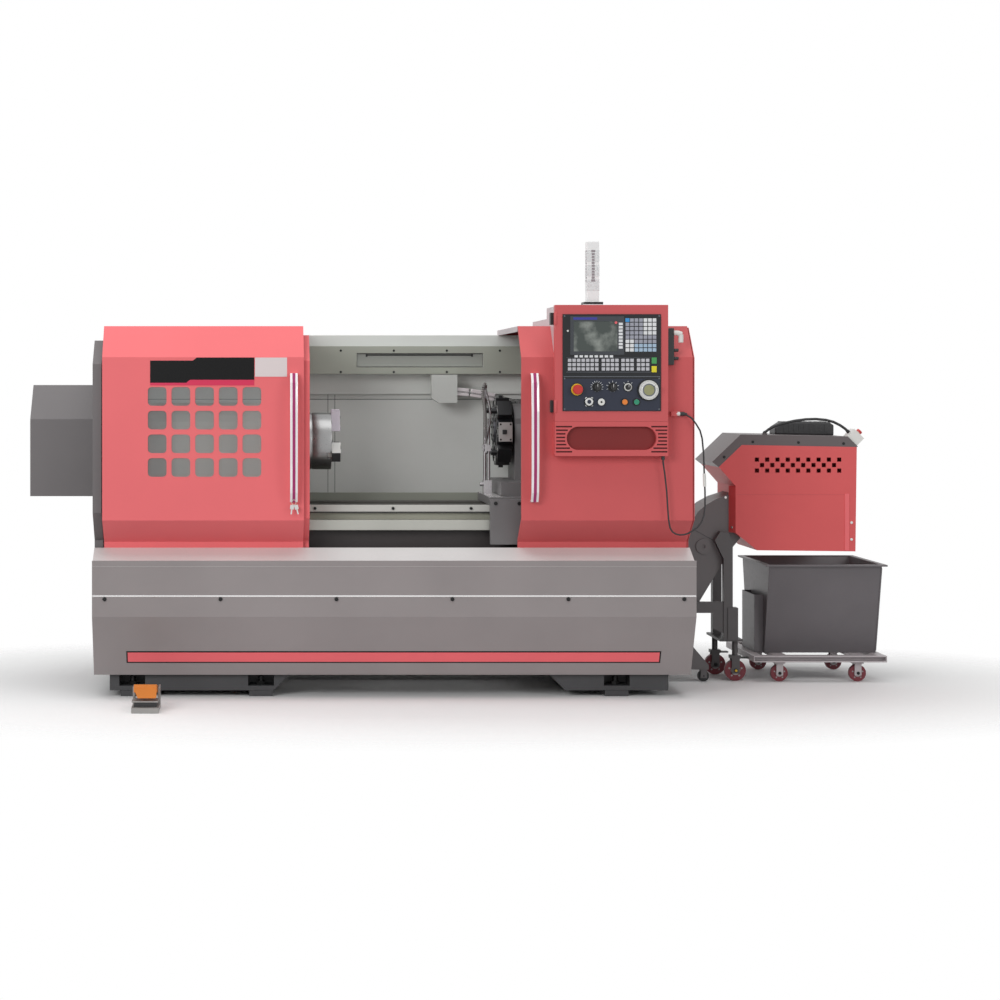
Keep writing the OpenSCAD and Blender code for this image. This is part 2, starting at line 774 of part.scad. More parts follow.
// Mushroom-headed emergency stop
module estop_button() {
    color([0.8, 0.08, 0.06]) {
        at_panel(estop_at) {
            rod_y(panel_y - 14, console_y + 18, 9, 0, 0);
            rod_y(panel_y - 30, panel_y - 14, estop_r, 0, 0);
            rod_y(panel_y - 34, panel_y - 30, estop_r - 4, 0, 0);
        }
    }
}

// Flush push button at x
module push_button(x) {
    at_panel([x, button_z]) rod_y(panel_y - 9, console_y + 8, button_r, 0, 0);
}

module start_button() {
    color([0.1, 0.55, 0.2]) push_button(start_x);
}

module stop_button() {
    color([0.9, 0.4, 0.08]) push_button(stop_x);
}

// Knob with a pointer ridge at x, of radius r
module knob(x, r) {
    at_panel([x, knob_z]) {
        rod_y(panel_y - 5, console_y + 12, 4, 0, 0);
        rod_y(panel_y - 8, panel_y - 2 - slide_gap, r, 0, 0);
        rod_y(panel_y - 20, panel_y - 8, r - 3, 0, 0);
        block([-2.5, panel_y - 24, 3 - r], [2.5, panel_y - 8, r]);
    }
}

module feed_knob() {
    color([0.1, 0.1, 0.1]) knob(knob_xs[0], knob_r);
}

module spindle_knob() {
    color([0.1, 0.1, 0.1]) knob(knob_xs[1], knob_r);
}

module mode_selector() {
    color([0.12, 0.12, 0.12]) knob(knob_xs[2], knob_r - 3);
}

// Hand wheel with a crank grip
module hand_wheel() {
    color([0.75, 0.75, 0.72]) at_panel(wheel_at) {
        rod_y(panel_y - 10, console_y + 14, 6, 0, 0);
        rod_y(panel_y - 20, panel_y - 4 - slide_gap, wheel_r, 0, 0);
        rod_y(panel_y - 24, panel_y - 20, wheel_r - 12, 0, 0);
        rod_y(panel_y - 44, panel_y - 19, 6, 27, 14);
    }
}

// Foot switch base with two cheeks for the pin of the treadle
module pedal_base() {
    color([0.45, 0.45, 0.45])
    difference() {
        union() {
            block([pedal_x - 56, pedal_y - 100, 0], [pedal_x + 56, pedal_y + 100, 22]);
            for (s = [-1, 1]) {
                block([pedal_x + s * 52 - 4, pedal_y + 20, 20], [pedal_x + s * 52 + 4, pedal_y + 96, 90]);
            }
        }
        rod_x(pedal_x - 60, pedal_x + 60, 5 + run_gap, pedal_y + 78, 70);
    }
}

// Sprung treadle on its pin
module pedal_treadle() {
    line = [[pedal_y - 92, 84], [pedal_y - 92, 104], [pedal_y - 60, 112], [pedal_y + 84, 86]];
    color([0.9, 0.45, 0.1]) {
        along_x(pedal_x - 46, pedal_x + 46) polygon(bent(line, -5));
        for (s = [-1, 1]) {
            along_x(pedal_x + s * 44 - 2, pedal_x + s * 44 + 2)
                polygon([[pedal_y - 80, 85], [pedal_y - 80, 104], [pedal_y + 84, 84], [pedal_y + 88, 62],
                    [pedal_y + 66, 60]]);
        }
        rod_x(pedal_x - 56, pedal_x + 56, 5, pedal_y + 78, 70);
    }
}

// Conveyor trunk: open pan under the bed, closed incline, and the bracket of the tail wheel
module conveyor_trunk() {
    pan_x = left_x + 900 - end_x;
    low = moved([[pan_x, 120], [1, 120], [148, 365], [280, 585], [326, 642]], end_x);
    high = moved([[-54, 400], [0, 480], [58, 590], [98, 655], [119, 733], [140, 763], [176, 793],
        [225, 820], [293.4, 842]], end_x);
    wall = concat(low, moved([[294.95, 667.95], [294.95, 842.5]], end_x), [for (i = [8:-1:0]) high[i]],
        moved([[-100, 330], [pan_x, 330]], end_x));
    color([0.4, 0.39, 0.39]) {
        for (y = [trunk_y[0], trunk_y[1] - 4]) {
            along_y(y, y + 4) polygon(wall);
        }
        along_y(trunk_y[0], trunk_y[1]) polygon(bent(low, 4));
        along_y(trunk_y[0], trunk_y[1]) polygon(bent(high, -4));
        block([end_x + pan_x, trunk_y[0], 120], [end_x + pan_x + 4, trunk_y[1], 330]);
        difference() {
            rod_y(trunk_y[0] - 6, trunk_y[0] + 1, 34, end_x + 160, 604);
            rod_y(trunk_y[0] - 7, trunk_y[0] - 1, 9, end_x + 160, 604);
        }
        along_y(42, 88)
            polygon(moved([[-60, 122], [12, 122], [107, 158], [178, 75], [178, 55], [20, 55]], end_x));
        difference() {
            for (y = [49, 75]) {
                block([tail_caster[0] - 14, y, 16], [tail_caster[0] + 14, y + 6, 56]);
            }
            rod_y(40, 90, 4 + run_gap, tail_caster[0], tail_wheel_r);
        }
    }
}

// Red conveyor head, open at its foot over the chip bin
module conveyor_head() {
    wall = moved([[391, 590], [343, 629], [295, 668], [295, 877], [220, 962], [323, 1061], [837, 1052],
        [831, 585]], end_x);
    y1 = head_y + head_d;
    color([0.8, 0.34, 0.34]) {
        difference() {
            for (y = [head_y, y1 - 3]) {
                along_y(y, y + 3) polygon(wall);
            }
            for (j = [0:2]) {
                for (i = [0:(j == 1 ? 7 : 8)]) {
                    block([end_x + 381 + 46 * i + (j == 1 ? 23 : 0), head_y - 1, 937 + 24.5 * j],
                        [end_x + 399.8 + 46 * i + (j == 1 ? 23 : 0), head_y + 4, 955.8 + 24.5 * j]);
                }
            }
        }
        along_y(head_y, y1) polygon(bent([wall[6], wall[7]], -3));
        difference() {
            along_y(head_y, y1) polygon(bent([for (i = [0:4]) wall[i]], -3));
            along_y(trunk_y[0] + 4, trunk_y[1] - 4)
                polygon(moved([[280, 680], [310, 680], [310, 832], [280, 832]], end_x));
        }
        translate([end_x, 0, 668]) linear_extrude(209)
            polygon([[295.5, head_y], [295, head_y], [274, trunk_y[0]], [295.5, trunk_y[0]]]);
    }
}

// Grey folded lid on the conveyor head, with the gland of the drive hose
module conveyor_cover() {
    band = moved([[220, 962], [323, 1061], [837, 1052.05], [842, 1054], [797, 1099], [318, 1108], [190, 985]],
        end_x);
    color([0.42, 0.41, 0.42]) {
        for (y = [head_y, head_y + head_d - 3]) {
            along_y(y, y + 3) polygon(band);
        }
        along_y(head_y, head_y + head_d)
            polygon(bent([band[0], band[6], band[5], band[4], band[3]], -3));
        block([end_x + 425, 65, 1098], [end_x + 445, 85, 1113]);
    }
}

// Drive housing on the lid
module conveyor_motor() {
    color([0.12, 0.12, 0.13])
    along_y(232, 345)
        polygon(moved([[521, 1108.01 - 203 * 9 / 479], [790, 1108.01 - 472 * 9 / 479], [790, 1145],
            [770, 1160], [560, 1160], [521, 1135]], end_x));
}

// Switch box with a stop button, on the slanted end of the lid
module conveyor_switch() {
    color([0.85, 0.85, 0.83])
    translate([end_x + 797, 40, 1099]) rotate([0, 45, 0]) {
        block([0, 0, 0.01], [60, 70, 47]);
        rod_z(46, 51, 17, 30, 35);
        rod_z(50, 65, 12, 30, 35);
    }
}

// Hose from the lid round to the switch box
module conveyor_hose() {
    color([0.05, 0.05, 0.05]) translate([end_x, 0, 0]) cord(hose_route, 6);
}

// Fork of a caster, with the stem up to the leg
module fork(c, r) {
    difference() {
        union() {
            rod_z(2 * r + 18, 190, 13, c[0], c[1]);
            block([c[0] - 24, c[1] - 22, 2 * r + 6], [c[0] + 24, c[1] + 22, 2 * r + 20]);
            for (s = [-1, 1]) {
                block([c[0] - 18, c[1] + s * 19 - 3, r - 14], [c[0] + 18, c[1] + s * 19 + 3, 2 * r + 8]);
            }
        }
        rod_y(c[1] - 40, c[1] + 40, 5 + run_gap, c[0], r);
    }
}

// Post bolted to the trunk's side, post under it, brace, gusset, foot plate and two caster forks
module conveyor_leg() {
    color([0.22, 0.22, 0.23]) {
        along_y(trunk_y[0] - 35, trunk_y[0])
            polygon(moved([[244, 188], [285, 188], [285, 606], [266, 666], [229, 673], [204, 634],
                [244, 550]], end_x));
        along_y(trunk_y[1] - 45, trunk_y[1])
            polygon(moved([[240, 188], [280, 188], [280, 584.9], [240, 518.3]], end_x));
        along_y(trunk_y[0] - 30, trunk_y[0])
            polygon(moved([[90, 308], [245, 308], [245, 357], [90, 357]], end_x));
        along_y(trunk_y[0] - 40, trunk_y[0] + 10)
            polygon(moved([[262, 188], [308, 188], [308, 332], [262, 332]], end_x));
        along_y(trunk_y[0] - 30, trunk_y[0] + 10)
            polygon(moved([[198, 238], [264, 208], [264, 309], [198, 309]], end_x));
        block([end_x + 228, 45, 180], [end_x + 332, 330, 190]);
        fork(front_caster, caster_r);
        fork(back_caster, caster_r);
    }
}

// Wheel of radius r on its axle
module wheel(c, r, w, pin) {
    rod_y(c[1] - w / 2, c[1] + w / 2, r, c[0], r);
    rod_y(c[1] - w / 2 - 10, c[1] + w / 2 + 10, pin, c[0], r);
}

module caster_front_wheel() {
    color([0.4, 0.08, 0.12]) wheel(front_caster, caster_r, 26, 5);
}

module caster_back_wheel() {
    color([0.4, 0.08, 0.12]) wheel(back_caster, caster_r, 26, 5);
}

module tail_wheel() {
    color([0.15, 0.15, 0.15]) wheel(tail_caster, tail_wheel_r, 14, 4);
}

// Channel frame of the cart, with four caster forks
module cart_frame() {
    x1 = cart_x + 595;
    color([0.42, 0.41, 0.42]) {
        difference() {
            block([cart_x, cart_y[0], 91], [x1, cart_y[1], frame_z]);
            block([cart_x + 44, cart_y[0] + 44, 90], [x1 - 44, cart_y[1] - 44, frame_z + 1]);
            block([cart_x + 5, cart_y[0] - 1, 97], [x1 - 5, cart_y[0] + 30, frame_z - 6]);
        }
        for (x = [left_axle, right_axle]) {
            block([x - 30, cart_y[0] + 40, 106], [x + 30, cart_y[1] - 40, frame_z]);
            difference() {
                for (y = [71, 470]) {
                    block([x - 24, y - 24, 2 * cart_r + 5], [x + 24, y + 24, 108]);
                    for (s = [-1, 1]) {
                        block([x - 15, y + s * 18 - 3, cart_r - 10],
                            [x + 15, y + s * 18 + 3, 2 * cart_r + 6]);
                    }
                }
                rod_y(40, 500, 5 + run_gap, x, cart_r);
            }
        }
    }
}

// Chip bin with a flanged rim, and a pocket for the tines of a lift truck on its left wall
module chip_bin() {
    x1 = bin_x + bin_l;
    color([0.33, 0.33, 0.34]) {
        difference() {
            along_x(bin_x + 19, x1 - 19) polygon([[130, frame_z], [449, frame_z], [550, bin_z], [29, bin_z]]);
            along_x(bin_x + 23, x1 - 23)
                polygon([[133.1, frame_z + 4], [445.9, frame_z + 4], [545.9, bin_z + 1], [33.1, bin_z + 1]]);
        }
        difference() {
            block([bin_x, cart_y[0], bin_z - 8], [x1, cart_y[1], bin_z]);
            block([bin_x + 22, 35, bin_z - 9], [x1 - 22, 544, bin_z + 1]);
        }
        difference() {
            block([bin_x - 21, 146, frame_z], [bin_x + 21, 387, 380]);
            block([bin_x - 17, 150, frame_z + 4], [bin_x + 19, 383, 381]);
        }
    }
}

// Pair of wheels on one line under the cart
module cart_wheels(x) {
    for (y = [71, 470]) {
        wheel([x, y], cart_r, 24, 5);
    }
}

module cart_left_wheels() {
    color([0.4, 0.08, 0.12]) cart_wheels(left_axle);
}

module cart_right_wheels() {
    color([0.4, 0.08, 0.12]) cart_wheels(right_axle);
}

bed();
pedestals();
leveling_pads();
base_cover();
chip_tray();
left_end_guards();
left_guard();
right_guard();
rear_guard();
work_lamp();
headstock();
electrical_cabinet();
screw_cover();
feed_screw();
spindle();
chuck_body();
jaw_1();
jaw_2();
jaw_3();
saddle();
coolant_pipe();
cross_slide();
cable_box();
turret_disc();
tool_holders();
tailstock_body();
tailstock_quill();
left_door();
left_handle();
left_window();
right_door();
right_handle();
console_housing();
signal_lamp();
door_cable();
console_front();
control_panel();
estop_button();
start_button();
stop_button();
feed_knob();
spindle_knob();
mode_selector();
hand_wheel();
pedal_base();
pedal_treadle();
conveyor_trunk();
conveyor_head();
conveyor_cover();
conveyor_motor();
conveyor_switch();
conveyor_hose();
conveyor_leg();
caster_front_wheel();
caster_back_wheel();
tail_wheel();
cart_frame();
chip_bin();
cart_left_wheels();
cart_right_wheels();
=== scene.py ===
import math

import bmesh
import bpy
from mathutils import Matrix, Vector


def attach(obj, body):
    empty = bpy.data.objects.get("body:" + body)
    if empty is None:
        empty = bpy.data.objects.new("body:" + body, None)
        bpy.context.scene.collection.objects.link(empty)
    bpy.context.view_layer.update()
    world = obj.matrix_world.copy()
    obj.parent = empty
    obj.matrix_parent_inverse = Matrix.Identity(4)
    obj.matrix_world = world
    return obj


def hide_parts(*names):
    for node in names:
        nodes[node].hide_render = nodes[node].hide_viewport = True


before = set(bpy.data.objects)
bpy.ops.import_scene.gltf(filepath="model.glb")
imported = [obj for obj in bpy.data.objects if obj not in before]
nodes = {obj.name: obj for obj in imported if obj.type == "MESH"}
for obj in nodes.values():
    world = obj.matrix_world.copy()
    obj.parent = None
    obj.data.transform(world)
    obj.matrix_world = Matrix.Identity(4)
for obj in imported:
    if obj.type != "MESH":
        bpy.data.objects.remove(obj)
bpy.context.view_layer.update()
scene = bpy.context.scene
scene.view_settings.view_transform = "Standard"

# The camera stands level, nine metres in front of the base and near its left end, as the photographer
# did: everything to the right is seen a little from its left side.
VIEW_POINT = (-0.532, -9.55, 1.329)
LENS_MM = 77.14
LENS_SHIFT = (0.25, -0.115)
camera_data = bpy.data.cameras.new("camera")
camera_data.lens = LENS_MM
camera_data.shift_x, camera_data.shift_y = LENS_SHIFT
camera_data.clip_end = 100
camera = bpy.data.objects.new("camera", camera_data)
camera.location = VIEW_POINT
camera.rotation_euler = (math.pi / 2, 0, 0)
scene.collection.objects.link(camera)
scene.camera = camera


def tone(r, g, b):
    """A colour as the eye reads it, 0 to 255, as a shader takes it."""
    return tuple((c / 255 / 12.92 if c <= 10 else ((c / 255 + 0.055) / 1.055) ** 2.4) for c in (r, g, b)) + (1,)


def add_node(tree, kind, links=(), values=(), **settings):
    """A shader node with its settings, the values of its inputs and what feeds them."""
    node = tree.nodes.new("ShaderNode" + kind)
    for key, value in settings.items():
        setattr(node, key, value)
    for key, value in dict(values).items():
        node.inputs[key].default_value = value
    for key, source in dict(links).items():
        tree.links.new(source, node.inputs[key])
    return node


# The studio: a white surround that lights softly from everywhere, a pale floor that takes the machine's
# shadow, and four broad lamps, two overhead and one at each side of the camera.
SKY_LIGHT, SKY_SEEN = 0.36, 1.0
LAMPS = (("overhead", (0.3, -1.2, 5.2), (0.3, 0, 0.8), (5.5, 3.0), 80),
         ("upper_left", (-3.0, 0.5, 5.0), (1.5, 0, 0.8), (3.0, 3.0), 48),
         ("left_front", (-3.6, -6.0, 3.2), (0, 0, 0.9), (3.0, 2.5), 172),
         ("right_front", (4.8, -5.5, 2.6), (0.6, 0, 0.9), (2.5, 2.5), 62))
FLOOR_HALF, FLOOR_Z = 14.0, -0.0008
FLOOR_SQUEEZE, FLOOR_OFFSET = (0.42, 0.75, 0), (-0.16, 0, 0)
FLOOR_WHOLE, FLOOR_GONE = 0.75, 1.35
world = bpy.data.worlds.new("studio")
scene.world = world
world.use_nodes = True
world_tree = world.node_tree
sky = world_tree.nodes["Background"]
sky.inputs["Color"].default_value = (1, 1, 1, 1)
path = add_node(world_tree, "LightPath").outputs
through = add_node(world_tree, "Math", {0: path["Is Glossy Ray"], 1: path["Is Transmission Ray"]},
                   operation="MAXIMUM")
seen = add_node(world_tree, "Math", {0: path["Is Camera Ray"], 1: through.outputs[0]}, operation="MAXIMUM")
strength = add_node(world_tree, "MapRange", {"Value": seen.outputs[0]}, {"To Min": SKY_LIGHT, "To Max": SKY_SEEN})
world_tree.links.new(strength.outputs["Result"], sky.inputs["Strength"])

for name, place, target, size, watts in LAMPS:
    data = bpy.data.lights.new(name, "AREA")
    data.shape = "RECTANGLE"
    data.size, data.size_y = size
    data.energy = watts
    lamp = bpy.data.objects.new(name, data)
    lamp.location = place
    lamp.rotation_euler = (Vector(target) - Vector(place)).to_track_quat("-Z", "Y").to_euler()
    scene.collection.objects.link(lamp)

floor_bm = bmesh.new()
bmesh.ops.create_grid(floor_bm, x_segments=1, y_segments=1, size=FLOOR_HALF)
floor_mesh = bpy.data.meshes.new("floor")
floor_bm.to_mesh(floor_mesh)
floor_bm.free()
floor = bpy.data.objects.new("floor", floor_mesh)
floor.location = (0, 0, FLOOR_Z)
scene.collection.objects.link(floor)
floor_paint = bpy.data.materials.new("pale_floor")
floor_paint.use_nodes = True
floor_tree = floor_paint.node_tree
floor_shader = floor_tree.nodes["Principled BSDF"]
floor_shader.inputs["Roughness"].default_value = 0.8
floor_shader.inputs["Base Color"].default_value = tone(250, 250, 250)
squeezed = add_node(floor_tree, "VectorMath", {0: add_node(floor_tree, "TexCoord").outputs["Object"]},
                    {1: FLOOR_SQUEEZE, 2: FLOOR_OFFSET}, operation="MULTIPLY_ADD")
reach = add_node(floor_tree, "VectorMath", {0: squeezed.outputs["Vector"]}, operation="LENGTH")
fade = add_node(floor_tree, "MapRange", {"Value": reach.outputs["Value"]},
                {"From Min": FLOOR_WHOLE, "From Max": FLOOR_GONE})
blend = add_node(floor_tree, "MixShader", {"Fac": fade.outputs["Result"], 1: floor_shader.outputs["BSDF"],
                                           2: add_node(floor_tree, "BsdfTransparent").outputs["BSDF"]})
floor_tree.links.new(blend.outputs["Shader"], floor_tree.nodes["Material Output"].inputs["Surface"])
floor_mesh.materials.append(floor_paint)


def material(name, rgb, rough=0.4, metal=0.0, spread=0.05, grain=300, bump=0.02, rough_spread=0.08,
             coat=0.0, shine=0.5, patch=3.1, ends=(0.3, 0.7), light=None):
    """A finish whose tone, gloss and surface vary a little over the piece, as a real coat or skin does.

    Patches of that scale go from the tone to a lighter one, or to light where that is given.
    """
    mat = bpy.data.materials.new(name)
    mat.use_nodes = True
    tree = mat.node_tree
    shader = tree.nodes["Principled BSDF"]
    for key, value in (("Metallic", metal), ("Coat Weight", coat), ("Specular IOR Level", shine)):
        shader.inputs[key].default_value = value
    place = add_node(tree, "TexCoord").outputs["Object"]
    broad = add_node(tree, "TexNoise", {"Vector": place}, {"Scale": patch, "Detail": 5.0})
    ramp = add_node(tree, "ValToRGB", {"Fac": broad.outputs["Fac"]})
    for stop, position, share in zip(ramp.color_ramp.elements, ends, (1 - spread, 1 + spread)):
        stop.position = position
        stop.color = (*(min(1, c * share) for c in tone(*rgb)[:3]), 1)
    if light:
        ramp.color_ramp.elements[1].color = tone(*light)
    fine = add_node(tree, "TexNoise", {"Vector": place}, {"Scale": grain, "Detail": 3.0})
    gloss = add_node(tree, "MapRange", {"Value": fine.outputs["Fac"]},
                     {"To Min": max(0.02, rough - rough_spread), "To Max": min(1.0, rough + rough_spread)})
    dents = add_node(tree, "Bump", {"Height": fine.outputs["Fac"]}, {"Strength": bump, "Distance": 0.001})
    tree.links.new(ramp.outputs["Color"], shader.inputs["Base Color"])
    tree.links.new(gloss.outputs["Result"], shader.inputs["Roughness"])
    tree.links.new(dents.outputs["Normal"], shader.inputs["Normal"])
    return mat


def cord_curve(name, points, radius, mat):
    """A smooth round cord through the points, as one open spline."""
    data = bpy.data.curves.new(name, "CURVE")
    data.dimensions = "3D"
    data.bevel_depth = radius
    data.bevel_resolution = 4
    data.use_fill_caps = True
    spline = data.splines.new("POLY")
    spline.points.add(len(points) - 1)
    for p, q in zip(spline.points, points):
        p.co = (*q, 1)
    data.materials.append(mat)
    obj = bpy.data.objects.new(name, data)
    scene.collection.objects.link(obj)
    return obj


# Door cable: a black rubber lead with a threaded plug on the right door. It hangs in one slack loop beside
# the guard and goes up again into the foot of the console.
CABLE_R = 0.0035
CABLE_ROUTE = [(1.262, -0.548, 1.208), (1.28, -0.548, 1.208), (1.297, -0.552, 1.205), (1.322, -0.557, 1.19),
               (1.34, -0.56, 1.165), (1.356, -0.56, 1.138), (1.365, -0.56, 1.105), (1.371, -0.56, 1.04),
               (1.374, -0.56, 0.955), (1.377, -0.56, 0.88), (1.377, -0.56, 0.82), (1.372, -0.56, 0.78),
               (1.36, -0.56, 0.75), (1.343, -0.56, 0.73), (1.322, -0.56, 0.716), (1.305, -0.561, 0.706),
               (1.288, -0.562, 0.701), (1.27, -0.562, 0.7), (1.254, -0.562, 0.704), (1.24, -0.562, 0.713),
               (1.23, -0.562, 0.73), (1.224, -0.562, 0.764), (1.221, -0.562, 0.802), (1.216, -0.563, 0.88),
               (1.207, -0.564, 0.96), (1.2, -0.566, 1.005), (1.2, -0.566, 1.032)]
black_rubber = material("black_rubber", (30, 30, 32), rough=0.55, spread=0.06, grain=400, bump=0.05)
door_cable = cord_curve("door_lead", CABLE_ROUTE, CABLE_R, black_rubber)
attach(door_cable, "right_door")
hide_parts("door_cable")

# Drive hose: a smooth, stiff black hose that arches over the conveyor's lid, from a gland on the lid to the
# switch box at its end.
HOSE_R = 0.006
HOSE_START_X, HOSE_Y = 1.344, 0.075
HOSE_ARCH = [(0.435, 1.114), (0.441, 1.1195), (0.455, 1.1305), (0.478, 1.143), (0.52, 1.157), (0.57, 1.168),
             (0.62, 1.1745), (0.665, 1.176), (0.71, 1.172), (0.745, 1.163), (0.775, 1.148), (0.798, 1.132),
             (0.8138, 1.1162)]
hose_route = [(HOSE_START_X + x, HOSE_Y, z) for x, z in HOSE_ARCH]
drive_hose = cord_curve("drive_hose", hose_route, HOSE_R, black_rubber)
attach(drive_hose, "machine")
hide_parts("conveyor_hose")

# Base: two foot castings on steel pads, closed all round by folded sheet in mid grey. A pale plate lies on the
# sloping ledge behind an upright lip, a bright line painted as the highlight on the band's sheet edge and six
# black screws run along the band, a red stripe with a black border of painted shadow along the skirt.
LEFT_X, END_X, FRONT_Y = -1.196, 1.344, -0.55
BAND_TOP, BEND_Z, SKIRT_Z, SKIRT_IN = 0.565, 0.355, 0.095, 0.121
LEDGE_Z, LEDGE_D, LEDGE_THICK, LIP_TOP = 0.634, 0.141, 0.0015, 0.591
HIGHLIGHT_Z, HIGHLIGHT_H = 0.4425, 0.007
SCREW_Z, SCREW_FIRST, SCREW_PITCH = 0.4295, -1.143, 0.487
STRIPE_X, STRIPE_Z, STRIPE_H = (-1.056, 1.209), 0.176, 0.058
ANCHOR_X, ANCHOR_Y = (-1.035, -0.485, 1.035), (-0.35, 0.35)
ALONG_X, ALONG_Y, ALONG_Z = (1, 0, 0), (0, 1, 0), (0, 0, 1)
mid_grey = material("mid_grey_paint", (145, 138, 138), rough=0.38, grain=500)
dark_grey = material("dark_grey_paint", (102, 98, 99), rough=0.45, spread=0.06, grain=500)
pale_ledge = material("pale_ledge_paint", (222, 219, 218), rough=0.3, spread=0.04)
foot_black = material("foot_black_paint", (58, 58, 60), rough=0.55, spread=0.12, grain=90, bump=0.12)
red_trim = material("red_trim_paint", (236, 102, 109), rough=0.35, spread=0.04, grain=500)
trim_and_highlight_steel = material("trim_and_highlight_steel", (226, 224, 224), rough=0.25, metal=0.6, spread=0.04, grain=200)
black_screw = material("black_screw", (18, 18, 19), rough=0.45, metal=0.4, spread=0.1, bump=0.05)


def dress(mat, *names, soft=0.0):
    """Gives CAD nodes a finish, and where soft is given rounds their edges a little, so that they catch light."""
    for name in names:
        slots = nodes[name].data.materials
        slots.clear()
        slots.append(mat)
        if soft:
            weld = nodes[name].modifiers.new("weld", "WELD")
            weld.merge_threshold = 0.00001
            edge = nodes[name].modifiers.new("edge", "BEVEL")
            edge.width = soft
            edge.segments = 2
            edge.limit_method = "ANGLE"
            edge.angle_limit = math.radians(25)


def edges_of(verts):
    """The edges at those corners, each once."""
    return list(dict.fromkeys(e for v in verts for e in v.link_edges))


def bevel(bm, rims, width):
    bmesh.ops.bevel(bm, geom=rims, offset=width, affect="EDGES", segments=2, profile=0.5, material=-1)


def add_bar(bm, low, high, edge=0.0, turn=None, about=None):
    """A block between two corners, with rounded edges, turned about a point if asked."""
    made = bmesh.ops.create_cube(bm, size=1)["verts"]
    middle = [(a + b) / 2 for a, b in zip(low, high)]
    bmesh.ops.scale(bm, vec=[b - a for a, b in zip(low, high)], verts=made)
    bmesh.ops.translate(bm, vec=middle, verts=made)
    if turn is not None:
        bmesh.ops.rotate(bm, verts=made, cent=about or middle, matrix=turn)
    if edge:
        bevel(bm, edges_of(made), edge)


def add_round(bm, centre, axis, radius, depth, edge=0.0, sides=24, tip=None):
    """A round of that depth along axis, its middle at centre; tip is the far radius where it tapers."""
    made = bmesh.ops.create_cone(bm, cap_ends=True, segments=sides, radius1=radius,
                                 radius2=radius if tip is None else tip, depth=depth)["verts"]
    swing = Vector(ALONG_Z).rotation_difference(Vector(axis)).to_matrix()
    bmesh.ops.rotate(bm, verts=made, cent=(0, 0, 0), matrix=swing)
    bmesh.ops.translate(bm, vec=centre, verts=made)
    if edge:
        bevel(bm, [e for e in edges_of(made)
                   if len(e.link_faces) == 2 and max(len(f.verts) for f in e.link_faces) > 4], edge)


def piece(bm, name, mat, body):
    """Makes the mesh one piece that rides on a body."""
    mesh = bpy.data.meshes.new(name)
    bmesh.ops.recalc_face_normals(bm, faces=bm.faces)
    bm.to_mesh(mesh)
    bm.free()
    mesh.materials.append(mat)
    obj = bpy.data.objects.new(name, mesh)
    scene.collection.objects.link(obj)
    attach(obj, body)


def bars(name, mat, body, slot_name, *blocks, **how):
    """A piece of blocks alone, each between two corners."""
    bm = bmesh.new()
    for low, high in blocks:
        add_bar(bm, low, high, **how)
    piece(bm, name, mat, body)


def rounds(name, mat, body, slot_name, spots, axis, radius, depth, **how):
    """A piece of equal rounds alone, such as a set of screw heads."""
    bm = bmesh.new()
    for spot in spots:
        add_round(bm, spot, axis, radius, depth, **how)
    piece(bm, name, mat, body)


def turned(degrees, axis="X"):
    return Matrix.Rotation(math.radians(degrees), 3, axis)


dress(mid_grey, "base_cover", soft=0.0015)
dress(foot_black, "pedestals", soft=0.0015)
dress(foot_black, "leveling_pads")
ledge_w = math.hypot(LEDGE_Z - BAND_TOP, LEDGE_D)
ledge_mid = ((LEFT_X + END_X) / 2, FRONT_Y + LEDGE_D / 2, (BAND_TOP + LEDGE_Z) / 2)
bars("ledge_plate", pale_ledge, "machine", "grey_paint",
     ((LEFT_X, ledge_mid[1] - ledge_w / 2, ledge_mid[2]),
      (END_X, ledge_mid[1] + ledge_w / 2, ledge_mid[2] + LEDGE_THICK)),
     edge=0.0005, turn=turned(math.degrees(math.atan2(LEDGE_Z - BAND_TOP, LEDGE_D))), about=ledge_mid)
bars("ledge_lip", mid_grey, "machine", "grey_paint",
     ((LEFT_X, FRONT_Y - 0.0004, BAND_TOP - 0.003), (END_X, FRONT_Y + 0.002, LIP_TOP)), edge=0.0006)
# A thin bright steel strip: a painted highlight on the sheet edge of the band.
bars("band_highlight", trim_and_highlight_steel, "machine", "steel",
     ((LEFT_X + 0.002, FRONT_Y - 0.0015, HIGHLIGHT_Z - HIGHLIGHT_H / 2), (END_X - 0.002, FRONT_Y, HIGHLIGHT_Z + HIGHLIGHT_H / 2)),
     edge=0.0006)
bm = bmesh.new()
for k in range(6):
    x = SCREW_FIRST + SCREW_PITCH * k
    add_round(bm, (x, FRONT_Y - 0.003, SCREW_Z), ALONG_Y, 0.0085, 0.006, edge=0.002, sides=20)
    add_round(bm, (x, FRONT_Y - 0.0058, SCREW_Z), ALONG_Y, 0.0042, 0.0012, sides=6)
piece(bm, "band_screws", black_screw, "machine")

skirt_lean = math.degrees(math.atan2(SKIRT_IN, BEND_Z - SKIRT_Z))
stripe_y = FRONT_Y + SKIRT_IN * (BEND_Z - STRIPE_Z) / (BEND_Z - SKIRT_Z)
# The red stripe stands in a black border, which is painted shadow round its raised edge.
for name, mat, proud, margin in (("stripe_shadow_edge", black_screw, 0.0012, 0.0), ("stripe", red_trim, 0.002, 0.006)):
    bars(name, mat, "machine", "red_paint",
         ((STRIPE_X[0] + margin, stripe_y - proud, STRIPE_Z - STRIPE_H / 2 + margin),
          (STRIPE_X[1] - margin, stripe_y + 0.0004, STRIPE_Z + STRIPE_H / 2 - margin)),
         edge=0.0004, turn=turned(skirt_lean), about=(sum(STRIPE_X) / 2, stripe_y, STRIPE_Z))
bm = bmesh.new()
for x in ANCHOR_X:
    for y in ANCHOR_Y:
        add_round(bm, (x, y, 0.052), ALONG_Z, 0.019, 0.016, edge=0.002, sides=6)
        add_round(bm, (x, y, 0.066), ALONG_Z, 0.011, 0.03, edge=0.0015)
piece(bm, "levelling_nuts", black_screw, "machine")
